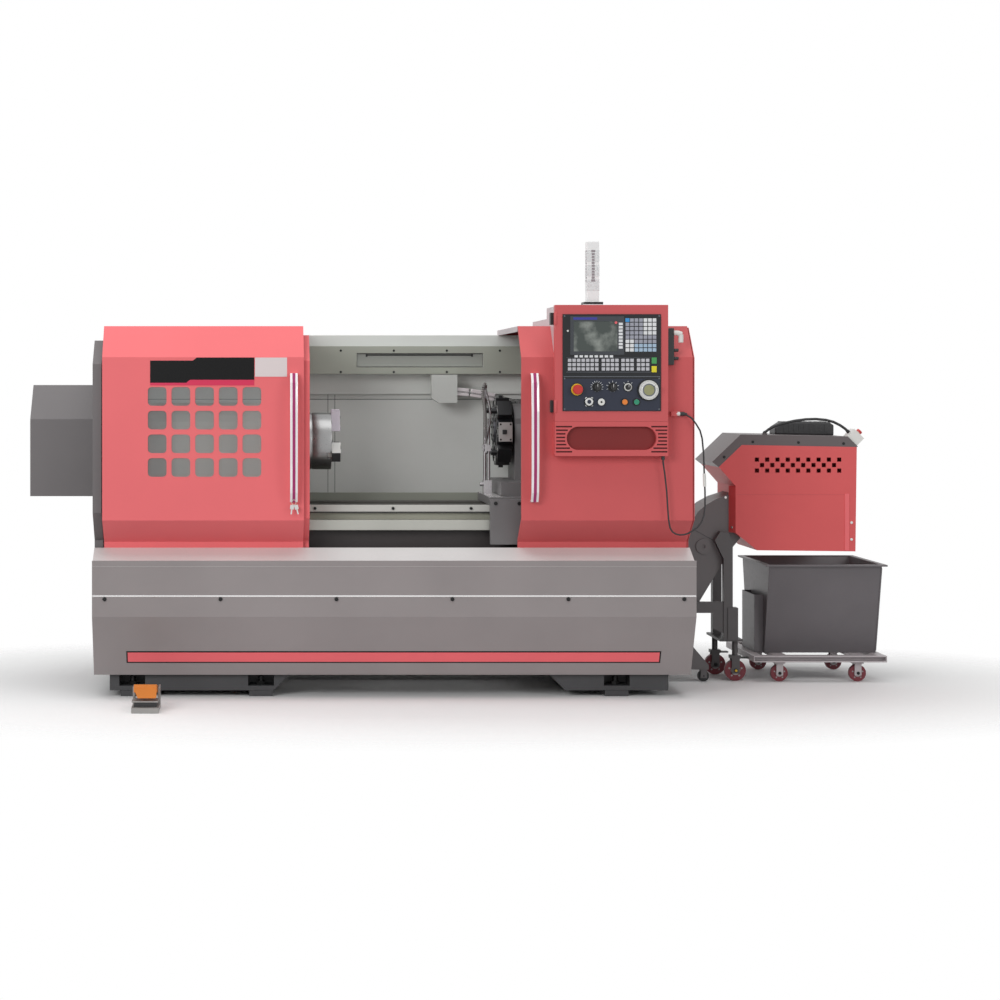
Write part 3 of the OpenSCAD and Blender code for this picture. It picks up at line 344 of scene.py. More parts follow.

# Bed and carriage ways: an iron casting painted olive grey, with ground bright tracks on its top, a bright
# cover strip over the feed screw and a row of cap screws along the front track. The tops of the ways and the bed
# below them are darkened with painted shade, and two black strips along the ways are painted shadow lines.
WAY_X = (-0.34, 1.2)
WAY_LOW, TRACK_Y, SHADE_Z = 0.7808, -0.2885, 0.704
way_top_shade, ground_steel, low_shade = tone(78, 76, 72), tone(200, 199, 194), tone(60, 54, 54)
bed_paint_and_shade = material("bed_casting_and_shade", (160, 160, 146), rough=0.5, spread=0.1, grain=60, bump=0.15)
tree = bed_paint_and_shade.node_tree
shader = tree.nodes["Principled BSDF"]
split = add_node(tree, "SeparateXYZ", {0: add_node(tree, "TexCoord").outputs["Object"]})
coat = shader.inputs["Base Color"].links[0].from_socket
# Colour by place: above the foot of the ways the tops are dark with painted shade, everything in front of TRACK_Y
# is bright ground steel, and everything below SHADE_Z is dark with painted shade.
for axis, test, limit, colour in (("Z", "GREATER_THAN", WAY_LOW, way_top_shade),
                                  ("Y", "LESS_THAN", TRACK_Y, ground_steel),
                                  ("Z", "LESS_THAN", SHADE_Z, low_shade)):
    part = add_node(tree, "Math", {0: split.outputs[axis]}, {1: limit}, operation=test)
    mix = add_node(tree, "Mix", {"A": coat, "Factor": part.outputs[0]}, {"B": colour}, data_type="RGBA")
    coat = mix.outputs["Result"]
tree.links.new(coat, shader.inputs["Base Color"])
bright_steel = material("bright_steel", (200, 200, 198), rough=0.34, metal=0.75, spread=0.04, grain=60,
                        bump=0.008, rough_spread=0.03)
cover_steel = material("cover_steel", (178, 178, 171), rough=0.42, metal=0.5, spread=0.08, grain=40)
tray_black = material("tray_black", (36, 36, 36), rough=0.5, spread=0.2, grain=40, bump=0.1)
splash_grey = material("splash_grey_paint", (150, 153, 142), rough=0.5, spread=0.06, grain=200, bump=0.04)
dress(bed_paint_and_shade, "bed", soft=0.002)
dress(cover_steel, "screw_cover", soft=0.002)
dress(bright_steel, "feed_screw")
dress(tray_black, "chip_tray")
bm = bmesh.new()
for k in range(5):
    x = -0.251 + 0.337 * k
    add_round(bm, (x, -0.293, 0.796), ALONG_Y, 0.0065, 0.008, edge=0.0012, sides=20)
    add_round(bm, (x, -0.2972, 0.796), ALONG_Y, 0.0035, 0.001, sides=6)
piece(bm, "track_screws", black_screw, "machine")
bars("splash_lip", splash_grey, "machine", "casting",
     ((WAY_X[0], 0.1105, 0.775), (WAY_X[1], 0.165, 0.779)),
     ((WAY_X[0], 0.162, 0.779), (WAY_X[1], 0.165, 0.842)), edge=0.0008)
# Two black strips painted as shadow lines: one under the edge of the front track, one at the foot of the splash
# lip.
bars("way_shadow_lines", black_rubber, "machine", "casting",
     ((WAY_X[0], -0.2905, 0.777), (WAY_X[1], -0.27, 0.7812)),
     ((WAY_X[0], 0.1105, 0.7795), (WAY_X[1], 0.1615, 0.7935)), edge=0.0004)

# Headstock end: a dark grey end cover with the belt guard standing out from it. Four black screws hold the
# guard at its end.
GUARD_END = -1.4825
dress(dark_grey, "left_end_guards", soft=0.0015)
rounds("end_cover_screws", black_screw, "machine", "black_steel",
       [(GUARD_END, y, z) for y in (-0.2, 0.1) for z in (0.88, 1.2)], ALONG_X, 0.006, 0.004,
       edge=0.0012, sides=16)

# Headstock: an iron casting in pale grey green, its edges well rounded, with two rows of bright cap screws on
# its front.
headstock_paint = material("headstock_paint", (196, 200, 192), rough=0.45, spread=0.06, grain=80, bump=0.1)
dress(headstock_paint, "headstock", "tailstock_body", soft=0.004)
rounds("headstock_screws", bright_steel, "machine", "steel",
       [(-1.06 + 0.13 * k, -0.323, z) for k in range(6) for z in (0.86, 1.13)], ALONG_Y, 0.011, 0.008,
       edge=0.002, sides=20)

# Spindle and chuck: turned and ground steel. The chuck has a fine groove round it and cap screws in its face.
# Of its three jaws one is worn pale, one white and one black, and each has a soft block screwed to it.
AXIS_Y, AXIS_Z, CHUCK_FACE = -0.1, 1.082, -0.176
SCREW_CIRCLE = 0.095
JAW_HALF, JAW_FOOT, JAW_STEP, JAW_END = 0.0206, 0.043, 0.132, 0.14
chuck_steel = material("chuck_steel", (150, 150, 150), rough=0.3, metal=0.95, spread=0.1, grain=220, bump=0.03)
jaw_pale = material("jaw_pale", (214, 205, 215), metal=0.2, spread=0.08, grain=200, bump=0.04)
jaw_white = material("jaw_white", (222, 222, 218), metal=0.2, spread=0.06, grain=200, bump=0.04)
jaw_black = material("jaw_black", (52, 52, 54), metal=0.6, spread=0.15, grain=200, bump=0.04)
dress(chuck_steel, "spindle")
dress(chuck_steel, "chuck_body", soft=0.0015)


def ring(count, radius, first=0):
    """Offsets to points spaced evenly round a circle, from an angle in degrees."""
    angles = [math.radians(first + 360 * k / count) for k in range(count)]
    return [(radius * math.sin(a), radius * math.cos(a)) for a in angles]


bm = bmesh.new()
for y, z in ring(6, SCREW_CIRCLE, 30):
    add_round(bm, (CHUCK_FACE + 0.001, AXIS_Y + y, AXIS_Z + z), ALONG_X, 0.009, 0.004, edge=0.001, sides=20)
    add_round(bm, (CHUCK_FACE + 0.0032, AXIS_Y + y, AXIS_Z + z), ALONG_X, 0.0045, 0.0008, sides=6)
piece(bm, "chuck_face_screws", jaw_black, "spindle")
for k, (name, mat) in enumerate((("jaw_1", jaw_pale), ("jaw_2", jaw_white), ("jaw_3", jaw_black))):
    dress(mat, name, soft=0.0015)
    turn = turned(120 * k)
    for part, finish, depth, low, high, edge in (("_block", mat, 0.04, JAW_FOOT, JAW_STEP, 0.002),
                                                 ("_cap", jaw_black if k else jaw_pale, 0.038, JAW_STEP, JAW_END,
                                                  0.001)):
        bars(name + part, finish, name, "steel",
             ((CHUCK_FACE + 0.0004, AXIS_Y - JAW_HALF, AXIS_Z + low),
              (CHUCK_FACE + depth, AXIS_Y + JAW_HALF, AXIS_Z + high)),
             edge=edge, turn=turn, about=(0, AXIS_Y, AXIS_Z))
    rounds(name + "_screws", jaw_black, name, "steel",
           [Vector((CHUCK_FACE + height + 0.0008, AXIS_Y, AXIS_Z)) + turn @ Vector((0, 0, out))
            for out, height in ((0.056, 0.042), (0.105, 0.04))], ALONG_X, 0.0065, 0.0016, edge=0.0004, sides=20)

# Work room: pale grey sheet behind the bed, a beam along its top and a box with a long lamp behind glass. The
# sheets are joined by rows of button-head screws.
LAMP_BOX_Y, WALL_Y = 0.2688, 0.35
room_grey = material("room_grey_paint", (230, 232, 228), rough=0.5, spread=0.04, grain=400)
beam_grey = material("beam_grey_paint", (216, 219, 215), spread=0.03, grain=400)
lamp_glass = material("lamp_glass", (150, 153, 146), rough=0.2, grain=60, coat=0.4)
lamp_face = material("lamp_face_paint", (164, 167, 156), rough=0.5, spread=0.04, grain=400)
seam_grey = material("seam_grey", (104, 108, 104), rough=0.6)
dress(room_grey, "rear_guard")
dress(lamp_glass, "work_lamp")
rounds("room_screws", black_screw, "machine", "black_steel",
       [(-0.116 + 0.243 * k, LAMP_BOX_Y, z) for k in range(6) for z in (1.3885, 1.4865)], ALONG_Y, 0.0055, 0.003,
       edge=0.001, sides=16)
bars("lamp_face", lamp_face, "machine", "pale_paint",
     *(((x0, LAMP_BOX_Y, z0), (x1, 0.27, z1))
       for x0, x1, z0, z1 in ((-0.28, 1.32, 1.38, 1.41), (-0.28, 1.32, 1.475, 1.5065),
                              (-0.28, -0.043, 1.41, 1.475), (0.536, 1.32, 1.41, 1.475))))
# A black line painted as the lamp tube's shadow, with a small block at each end.
bars("lamp_shadow_line", black_screw, "machine", "black_steel", ((-0.001, 0.2822, 1.4635), (0.491, 0.2838, 1.4695)),
     *(((x, 0.2818, 1.4585), (x + 0.008, 0.2838, 1.4715)) for x in (-0.001, 0.483)))
bars("beam_face", beam_grey, "machine", "pale_paint", ((-1.148, 0.2985, 1.509), (1.329, 0.3, 1.556)), edge=0.0005)
bars("wall_ribs", room_grey, "machine", "pale_paint",
     *(((-1.0 + 0.5 * k, 0.353, 0.7), (-0.94 + 0.5 * k, 0.369, 1.5)) for k in range(5)), edge=0.004)
bars("wall_seams", seam_grey, "machine", "pale_paint", ((-1.1, 0.3492, 1.2615), (1.32, WALL_Y, 1.2645)),
     *(((x - 0.0012, 0.3492, 0.64), (x + 0.0012, WALL_Y, 1.285)) for x in (-0.172, -0.14, 0.56)))

# Doors: folded sheet in coral red, each on rollers along the ledge and the rear beam. The left one has twenty
# rounded windows over one clear pane, a bare black name plate with a red underline and a bare pale plate.
FACE_Y = -0.536
PLATE_LEFT, PLATE_RIGHT, PLATE_TOP = -0.952, -0.514, 1.4445
PLATE_STEP = [(PLATE_LEFT, 1.3383), (-0.8, 1.3383), (-0.785, 1.351), (PLATE_RIGHT, 1.351)]
LEFT_HANDLE_X, RIGHT_HANDLE_X = -0.348, 0.662
HANDLE_MID, HANDLE_HALF, STRIPE_HALF = 1.108, 0.2705, 0.0062


def red_paint(name, rgb, spread=0.03):
    return material(name, rgb, rough=0.48, spread=spread, grain=600, bump=0.015, shine=0.3)


door_red = red_paint("door_red_paint", (238, 114, 118), spread=0.025)
# The door red darkened as painted shade: the right door and its guard lie away from the light on the left, and a
# line of it runs along the conveyor head's seam.
shaded_red = red_paint("shaded_red_paint", (208, 94, 96))
plate_black = material("plate_black", (10, 10, 11), rough=0.28, spread=0.06, bump=0.01, shine=0.2)
underline_red = material("underline_red", (214, 40, 84), rough=0.35, spread=0.04, bump=0.01)
plate_pale = material("plate_pale", (226, 214, 214), rough=0.35, spread=0.04, bump=0.01)
clear_pane = material("clear_pane", (200, 208, 208), rough=0.08, spread=0.02, grain=30, bump=0.01)
clear_pane.node_tree.nodes["Principled BSDF"].inputs["Alpha"].default_value = 0.14
chrome = material("handle_chrome", (224, 219, 222), rough=0.34, metal=0.6, spread=0.04, grain=200, bump=0.01)
magenta = material("handle_stripe", (158, 34, 98), rough=0.35)
lining = material("door_lining", (196, 186, 189), rough=0.45, spread=0.04)
dress(door_red, "left_door")
dress(door_red, "left_guard", soft=0.0015)
dress(shaded_red, "right_door")
dress(shaded_red, "right_guard", soft=0.0015)
dress(clear_pane, "left_window")
dress(chrome, "left_handle", "right_handle", soft=0.0015)


def add_strip(bm, line, x0, x1, thick):
    """A flat strip bent along a line of (y, z) points, thick to the left of the line."""
    rows = []
    for i, (y, z) in enumerate(line):
        back, ahead = line[max(i - 1, 0)], line[min(i + 1, len(line) - 1)]
        run = Vector((ahead[0] - back[0], ahead[1] - back[1])).normalized()
        lift = Vector((-run.y, run.x)) * thick
        rows.append([bm.verts.new(p) for p in ((x0, y, z), (x1, y, z), (x1, y + lift.x, z + lift.y),
                                               (x0, y + lift.x, z + lift.y))])
    for a, b in zip(rows, rows[1:]):
        for k in range(4):
            bm.faces.new((a[k], a[(k + 1) % 4], b[(k + 1) % 4], b[k]))
    bm.faces.new(rows[0])
    bm.faces.new(rows[-1])


def plate(name, mat, body, outline, y0, y1):
    """A piece that is one flat plate with an outline of (x, z) points, between two depths."""
    bm = bmesh.new()
    near = [bm.verts.new((x, y0, z)) for x, z in outline]
    far = [bm.verts.new((x, y1, z)) for x, z in outline]
    bm.faces.new(near)
    bm.faces.new(far[::-1])
    for i in range(len(outline)):
        j = (i + 1) % len(outline)
        bm.faces.new((near[i], far[i], far[j], near[j]))
    piece(bm, name, mat, body)


plate("name_plate", plate_black, "left_door",
      PLATE_STEP + [(PLATE_RIGHT, PLATE_TOP), (-0.7556, PLATE_TOP), (-0.772, 1.4317), (PLATE_LEFT, 1.4317)],
      FACE_Y - 0.0015, FACE_Y)
plate("name_underline", underline_red, "left_door",
      [(PLATE_LEFT, 1.3275), (PLATE_RIGHT, 1.3275)] + PLATE_STEP[::-1], FACE_Y - 0.0013, FACE_Y)
bars("pale_plate", plate_pale, "left_door", "white_plastic",
     ((-0.511, FACE_Y - 0.0012, 1.364), (-0.376, FACE_Y, PLATE_TOP)), edge=0.0004)
bow = [(-0.564, -HANDLE_HALF), (-0.584, -HANDLE_HALF + 0.04), (-0.592, -HANDLE_HALF + 0.16),
       (-0.592, HANDLE_HALF - 0.16), (-0.584, HANDLE_HALF - 0.04), (-0.564, HANDLE_HALF)]
for name, x, body in (("left_stripe", LEFT_HANDLE_X, "left_door"),
                      ("right_stripe", RIGHT_HANDLE_X, "right_door")):
    bm = bmesh.new()
    add_strip(bm, [(y, HANDLE_MID + z) for y, z in bow], x - STRIPE_HALF, x + STRIPE_HALF, 0.0008)
    piece(bm, name, magenta, body)
for name, x0, x1, body in (("left_lining", -1.15, -0.309, "left_door"),
                           ("right_lining", 0.614, 1.327, "right_door")):
    bm = bmesh.new()
    add_strip(bm, [(-0.408, 1.5742), (0.33, 1.5742)], x0, x1, -0.0012)
    if body == "right_door":
        add_bar(bm, (0.6085, -0.405, 1.556), (0.61, 0.33, 1.5795), edge=0.0004)
    piece(bm, name, lining, body)

# Keys: two small steel keys on a loop of white string, tied to the lower end of the left handle. Each hangs at
# a slant of its own.
STRING_R, STRING_Y, STRING_Z = 0.0012, -0.568, 0.837
KEY_Y, KEY_Z, KEY_HALF_THICK = -0.564, 0.827, 0.001
string_white = material("string_white", (224, 218, 206), rough=0.8, spread=0.08, grain=900, bump=0.2)
loop = [(LEFT_HANDLE_X + 0.009 * math.sin(a), STRING_Y - 0.003 * math.cos(a), STRING_Z + 0.011 * math.cos(a))
        for a in (math.tau * k / 24 for k in range(25))]
key_string = cord_curve("key_string", loop, STRING_R, string_white)
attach(key_string, "left_door")
bm = bmesh.new()
for lean, shift in ((8, -0.006), (-14, 0.008)):
    x = LEFT_HANDLE_X + shift
    for half, low, high, edge in ((0.008, 0.807, 0.826, 0.0008), (0.003, 0.786, 0.807, 0.0006)):
        add_bar(bm, (x - half, KEY_Y - KEY_HALF_THICK, low), (x + half, KEY_Y + KEY_HALF_THICK, high), edge=edge,
                turn=turned(lean, "Y"), about=(x, KEY_Y, KEY_Z))
piece(bm, "keys", bright_steel, "left_door")

# Right door fittings: the plug of the lead, a white tag sleeve on it, and beside the console a black plate with
# two knobs and a pale elbow gland. Under the console is a long round-ended recess between two rows of slots.
PLUG_Y, PLUG_Z = -0.548, 1.208
RECESS_X, RECESS_Z, RECESS_R, RECESS_HALF = 0.9795, 1.106, 0.0482, 0.139
SLOT_LEFT, SLOT_RIGHT, SLOT_HALF = 0.748, 1.211, 0.003
SLOT_ENDS = (0.814, 0.805, 0.79, 0.784, 0.783, 0.786, 0.796, 0.814)
pale_plastic = material("pale_plastic", (226, 226, 222), spread=0.04)
black_plastic = material("black_plastic", (30, 30, 32), spread=0.08, grain=500, bump=0.03)
recess_shade_red = material("recess_shade_red", (126, 42, 42), rough=0.5, grain=400, bump=0.03, shine=0.3)
slot_shade = material("slot_shade", (66, 22, 24), rough=0.6, grain=400, bump=0.03, shine=0.2)
rounds("lead_socket", pale_plastic, "right_door", "white_plastic", [(1.266, PLUG_Y, PLUG_Z)], ALONG_X,
       0.0085, 0.016, edge=0.001)
bm = bmesh.new()
add_bar(bm, (1.2165, -0.5505, 1.413), (1.25, -0.5362, 1.568), edge=0.003)
for z in (1.441, 1.475):
    add_round(bm, (1.259, -0.5445, z), ALONG_X, 0.007, 0.02, edge=0.003)
add_round(bm, (1.284, PLUG_Y, PLUG_Z), ALONG_X, 0.0085, 0.02, edge=0.002)
add_round(bm, (1.297, -0.5505, 1.2065), (1, -0.15, -0.1), 0.0065, 0.012, edge=0.001)
add_round(bm, (1.2, -0.566, 1.024), ALONG_Z, 0.0075, 0.018, edge=0.001)
piece(bm, "side_plate", black_plastic, "right_door")
bm = bmesh.new()
add_round(bm, (1.3748, -0.56, 0.93), (-0.034, 0, 1), 0.0065, 0.055, edge=0.0008)
add_round(bm, (1.257, PLUG_Y, 1.548), ALONG_X, 0.01, 0.018, edge=0.002)
add_round(bm, (1.272, PLUG_Y, 1.545), (1, 0, -0.3), 0.011, 0.022, edge=0.003)
add_round(bm, (1.278, PLUG_Y, 1.524), ALONG_Z, 0.0105, 0.034, edge=0.002)
piece(bm, "lead_tag", pale_plastic, "right_door")
stadium = [(RECESS_X + s * RECESS_HALF + RECESS_R * math.cos(a), RECESS_Z + RECESS_R * math.sin(a))
           for s, first in ((1, -90), (-1, 90)) for a in (math.radians(first + 15 * k) for k in range(13))]
# The back of the deep recess is a dark red plate: painted shade inside the recess.
plate("recess_shade_plate", recess_shade_red, "right_door", stadium, -0.5758, -0.5751)
# The slots are dark bars on the door: painted shade inside the openings.
bm = bmesh.new()
for k, inner in enumerate(SLOT_ENDS):
    z = 1.05 + 0.015 * k
    for x0, x1 in ((SLOT_LEFT, inner), (SLOT_LEFT + SLOT_RIGHT - inner, SLOT_RIGHT)):
        add_bar(bm, (x0, -0.5955, z - SLOT_HALF), (x1, -0.5949, z + SLOT_HALF))
piece(bm, "recess_slots", slot_shade, "right_door")

# Signal lamp: a white moulded post on a black foot, three ringed lenses with a row of dim lamp cores behind each
# face, and a domed cap.
LAMP_X, LAMP_Y, CORE_H = 0.9245, -0.43, 0.0095
lamp_white = material("lamp_white", (240, 240, 240), rough=0.3, spread=0.02, grain=200, bump=0.01)
lens_pale = material("lens_pale", (226, 228, 229), rough=0.2, spread=0.03, grain=200)
core_grey = material("core_grey", (150, 142, 146), rough=0.3, spread=0.1)
dress(lamp_white, "signal_lamp", soft=0.004)
bars("lamp_rings", lens_pale, "right_door", "white_plastic",
     *(((0.8975, -0.4565, 1.73 + 0.062 * k + 0.0055 * step),
        (0.9515, -0.4035, 1.73 + 0.062 * k + 0.0035 + 0.0055 * step)) for k in range(3) for step in range(9)),
     edge=0.0008)
bm = bmesh.new()
for k in range(11):
    z, half = 1.768 + 0.0125 * k, 0.0085 if k in (0, 10) else 0.0062
    add_bar(bm, (LAMP_X - half, -0.4572, z), (LAMP_X + half, -0.4028, z + CORE_H), edge=0.001)
    add_bar(bm, (0.8968, LAMP_Y - half, z), (0.9522, LAMP_Y + half, z + CORE_H), edge=0.001)
piece(bm, "lamp_cores", core_grey, "right_door")
bars("lamp_foot", black_plastic, "right_door", "black_plastic",
     ((0.8832, -0.4708, 1.671), (0.9648, -0.3892, 1.6815)), edge=0.001)

# Console: a grey box with a hinged red front pan. The black panel on it carries a screen, soft keys, a
# keypad, rows of function keys, override knobs with scales, buttons, a round socket and a hand wheel.
PANEL_Y = -0.599
SCREEN_X, SCREEN_Z = (0.82, 1.003), (1.469, 1.595)
BEZEL_X, BEZEL_Z = (0.806, 1.031), (1.455, 1.616)
KEY_PITCH, KEY_SIZE = (0.0188, 0.0178), (0.0156, 0.0146)
FEED_X, SPINDLE_X, MODE_X, CONTROLS_Z = 0.917, 0.983, 1.047, 1.32
KNOBS = (("feed_knob", FEED_X, 0.0145), ("spindle_knob", SPINDLE_X, 0.0145), ("mode_selector", MODE_X, 0.0115))
BUTTON_Z, CAP_X = 1.258, 0.934
SOCKET_X, SOCKET_Z, SOCKET_SCREWS = 0.884, 1.259, 0.0185
WHEEL_X, WHEEL_Z = 1.131, 1.308


def key_finish(name, rgb, rough=0.42, spread=0.05):
    return material(name, rgb, rough=rough, spread=spread, grain=500)


def button_finish(name, rgb, spread=0.05):
    return material(name, rgb, rough=0.3, spread=spread, coat=0.3)


console_red = red_paint("console_red_paint", (206, 94, 96))
console_grey = material("console_grey_paint", (198, 189, 192), grain=500)
panel_black = material("panel_black", (20, 22, 25), rough=0.42, spread=0.08, grain=700, bump=0.03, shine=0.35)
slate = material("panel_slate", (40, 45, 60), rough=0.42, spread=0.06, grain=700, bump=0.03, shine=0.35)
key_grey = key_finish("key_grey", (194, 194, 200), rough=0.45)
key_dim = key_finish("key_dim", (158, 160, 172), rough=0.45)
key_sky = key_finish("key_sky", (168, 192, 214), rough=0.45)
key_pale = key_finish("key_pale", (228, 230, 232), spread=0.04)
key_blue = key_finish("key_blue", (62, 150, 214))
key_green = key_finish("key_green", (66, 150, 84))
key_yellow = key_finish("key_yellow", (226, 212, 40))
panel_line = key_finish("panel_line", (96, 100, 108), rough=0.45)
screen_glass = material("screen_glass", (58, 68, 64), rough=0.2, spread=0.1, grain=40, bump=0.01, coat=0.3,
                        patch=16.0, ends=(0.48, 0.74), light=(142, 148, 142))
bezel_grey = material("bezel_grey", (50, 54, 60), rough=0.45, grain=500, bump=0.03)
band_blue = material("band_blue", (52, 56, 150), bump=0.01)
knob_line = material("knob_line", (232, 232, 232), spread=0.03, bump=0.01)
stop_red = button_finish("stop_red", (200, 36, 30), spread=0.04)
button_green = button_finish("button_green", (24, 140, 104))
button_orange = button_finish("button_orange", (232, 130, 40))
ring_yellow = material("ring_yellow", (232, 186, 40))
olive = material("wheel_olive", (142, 142, 104), metal=0.3, spread=0.06, bump=0.03)
dress(console_red, "console_front", soft=0.0012)
dress(console_grey, "console_housing", soft=0.0012)
dress(panel_black, "control_panel")
dress(black_plastic, "feed_knob", "spindle_knob", "mode_selector", soft=0.0008)
dress(stop_red, "estop_button", soft=0.0015)
dress(button_green, "start_button", soft=0.0015)
dress(button_orange, "stop_button", soft=0.0015)
dress(bright_steel, "hand_wheel", soft=0.0012)


def add_panel_bar(bm, x, z, proud, edge=0.0, turn=None):
    """A block that stands proud of the panel, over those two ranges."""
    add_bar(bm, (x[0], PANEL_Y - proud, z[0]), (x[1], PANEL_Y, z[1]), edge=edge, turn=turn)


def add_keys(bm, first_x, first_z, columns, rows, pitch=KEY_PITCH, size=KEY_SIZE, proud=0.0022):
    """A block of keys on the panel, from the middle of the lowest left one."""
    for i in range(columns):
        for j in range(rows):
            x, z = first_x + pitch[0] * i, first_z + pitch[1] * j
            add_panel_bar(bm, (x - size[0] / 2, x + size[0] / 2), (z - size[1] / 2, z + size[1] / 2), proud,
                          0.0008)


def panel_disc(name, mat, body, slot_name, x, z, off, radius, depth, **how):
    """A piece that is one round facing the operator, its middle that far off the panel."""
    rounds(name, mat, body, slot_name, [(x, PANEL_Y - off, z)], ALONG_Y, radius, depth, **how)


bm = bmesh.new()
add_panel_bar(bm, (0.7785, 1.1795), (1.2225, 1.355), 0.0008, 0.0003)
piece(bm, "lower_panel", slate, "console")
bm = bmesh.new()
for x, z in (((BEZEL_X[0], SCREEN_X[0]), BEZEL_Z), ((SCREEN_X[1], BEZEL_X[1]), BEZEL_Z),
             (SCREEN_X, (SCREEN_Z[1], BEZEL_Z[1])), (SCREEN_X, (BEZEL_Z[0], SCREEN_Z[0]))):
    add_panel_bar(bm, x, z, 0.0018, 0.0006)
piece(bm, "screen_bezel", bezel_grey, "console")
bm = bmesh.new()
add_panel_bar(bm, SCREEN_X, SCREEN_Z, 0.0008, 0.0003)
piece(bm, "screen", screen_glass, "console")
bars("screen_band", band_blue, "console", "black_plastic",
     ((0.818, PANEL_Y - 0.0022, 1.6015), (0.918, PANEL_Y - 0.0017, 1.6115)), edge=0.0002)
panel_disc("screen_mark", red_trim, "console", "red_plastic", 0.9965, 1.5895, 0.002, 0.0055, 0.002, edge=0.0005)

bm = bmesh.new()
add_keys(bm, 1.0165, 1.486, 1, 8, (0, 0.014), (0.017, 0.0108))
add_keys(bm, 0.8305, 1.4485, 8, 1, (0.021, 0), (0.0145, 0.0095), proud=0.0028)
piece(bm, "soft_keys", key_pale, "console")
bm = bmesh.new()
for first, count in ((0.803, 7), (0.944, 4), (1.026, 3), (1.091, 3)):
    add_keys(bm, first, 1.396, count, 3, (0.0189, 0.018), (0.0145, 0.0135))
piece(bm, "function_keys", key_grey, "console")
for name, mat, blocks in (("letter_keys", key_pale, ((1.1197, 1.5467, 3, 4), (1.0445, 1.4757, 2, 3))),
                          ("grey_keys", key_dim, ((1.0633, 1.6001, 3, 1), (1.0445, 1.5467, 4, 3),
                                                  (1.0445, 1.5289, 7, 1), (1.0821, 1.5111, 5, 1))),
                          ("sky_keys", key_sky, ((1.0821, 1.4757, 5, 2),))):
    bm = bmesh.new()
    for block in blocks:
        add_keys(bm, *block)
    piece(bm, name, mat, "console")
for name, mat, x, z, size, proud in (("blue_key", key_blue, 1.0445, 1.6001, (0.0172, 0.0158), 0.0022),
                                     ("cycle_key", key_green, 1.156, 1.431, (0.021, 0.026), 0.003),
                                     ("hold_key", key_yellow, 1.156, 1.395, (0.021, 0.026), 0.003)):
    bm = bmesh.new()
    add_keys(bm, x, z, 1, 1, size=size, proud=proud)
    piece(bm, name, mat, "console")
bm = bmesh.new()
add_panel_bar(bm, (0.778, 1.181), (1.3625, 1.3655), 0.0012, 0.0004)
for z in ((1.382, 1.384), (1.4425, 1.4435)):
    add_panel_bar(bm, (0.789, 1.145), z, 0.0008, 0.0002)
for x in (0.782, 1.177):
    for z in (1.228, 1.617, 1.356):
        add_round(bm, (x, PANEL_Y - 0.001, z), ALONG_Y, 0.0035, 0.002, edge=0.0006, sides=16)
piece(bm, "panel_lines", panel_line, "console")

bm = bmesh.new()
for x, ticks, radius, half in ((FEED_X, 11, 0.0232, 0.0038), (SPINDLE_X, 7, 0.0232, 0.004),
                               (MODE_X, 3, 0.0235, 0.003)):
    for k in range(ticks):
        angle = math.radians(-110 + 220 * k / (ticks - 1)) if ticks > 3 else math.radians(-42 + 42 * k)
        spot = Vector((x + radius * math.sin(angle), PANEL_Y, CONTROLS_Z + radius * math.cos(angle)))
        add_panel_bar(bm, (spot.x - 0.0009, spot.x + 0.0009), (spot.z - half, spot.z + half), 0.0014,
                      turn=Matrix.Rotation(angle, 3, "Y"))
for x in (FEED_X, SPINDLE_X):
    add_panel_bar(bm, (x - 0.0075, x + 0.0075), (1.3005, 1.3035), 0.0014, 0.0003)
piece(bm, "scale_marks", key_pale, "console")
bm = bmesh.new()
add_round(bm, (CAP_X, PANEL_Y - 0.0125, BUTTON_Z), ALONG_Y, 0.0145, 0.004, edge=0.0012, sides=32)
add_round(bm, (0.7955, PANEL_Y - 0.0012, 1.555), ALONG_Y, 0.0042, 0.0024, edge=0.0006)
add_round(bm, (MODE_X, PANEL_Y - 0.0012, CONTROLS_Z), ALONG_Y, 0.0165, 0.0024, edge=0.0008, sides=32)
piece(bm, "pale_caps", pale_plastic, "console")
panel_disc("cap_slot", plate_black, "console", "black_plastic", CAP_X, BUTTON_Z, 0.0148, 0.0042, 0.0008, sides=16)
for name, x, r in KNOBS:
    bars(name + "_line", knob_line, name, "white_plastic",
         ((x - 0.0008, PANEL_Y - 0.0244, CONTROLS_Z), (x + 0.0008, PANEL_Y - 0.0238, CONTROLS_Z + r - 0.001)))
    rounds(name + "_grip", black_plastic, name, "black_plastic",
           [(x + dx, PANEL_Y - 0.014, CONTROLS_Z + dz) for dx, dz in ring(18, r - 0.003)], ALONG_Y, 0.0007, 0.011,
           sides=8)

panel_disc("stop_ring", ring_yellow, "console", "orange_plastic", 0.8335, 1.31, 0.0035, 0.0246, 0.007,
           edge=0.0015, sides=40)
bm = bmesh.new()
for x in (1.033, 1.082):
    add_round(bm, (x, PANEL_Y - 0.0015, BUTTON_Z), ALONG_Y, 0.0155, 0.003, edge=0.001, sides=32)
for k in range(4):
    angle = math.radians(52 + 90 * k if k % 2 == 0 else 38 + 90 * k)
    x, z = SOCKET_X + SOCKET_SCREWS * math.cos(angle), SOCKET_Z + SOCKET_SCREWS * math.sin(angle)
    add_round(bm, (x, PANEL_Y - 0.003, z), ALONG_Y, 0.005, 0.006, edge=0.001, sides=16)
add_round(bm, (SOCKET_X, PANEL_Y - 0.004, SOCKET_Z), ALONG_Y, 0.0165, 0.008, edge=0.0015, sides=32)
piece(bm, "button_rims", bright_steel, "console")
panel_disc("socket_face", slate, "console", "black_plastic", SOCKET_X, SOCKET_Z, 0.0084, 0.0085, 0.001, sides=32)
panel_disc("wheel_centre", olive, "hand_wheel", "steel", WHEEL_X, WHEEL_Z, 0.0243, 0.022, 0.0012,
           edge=0.0004, sides=40)
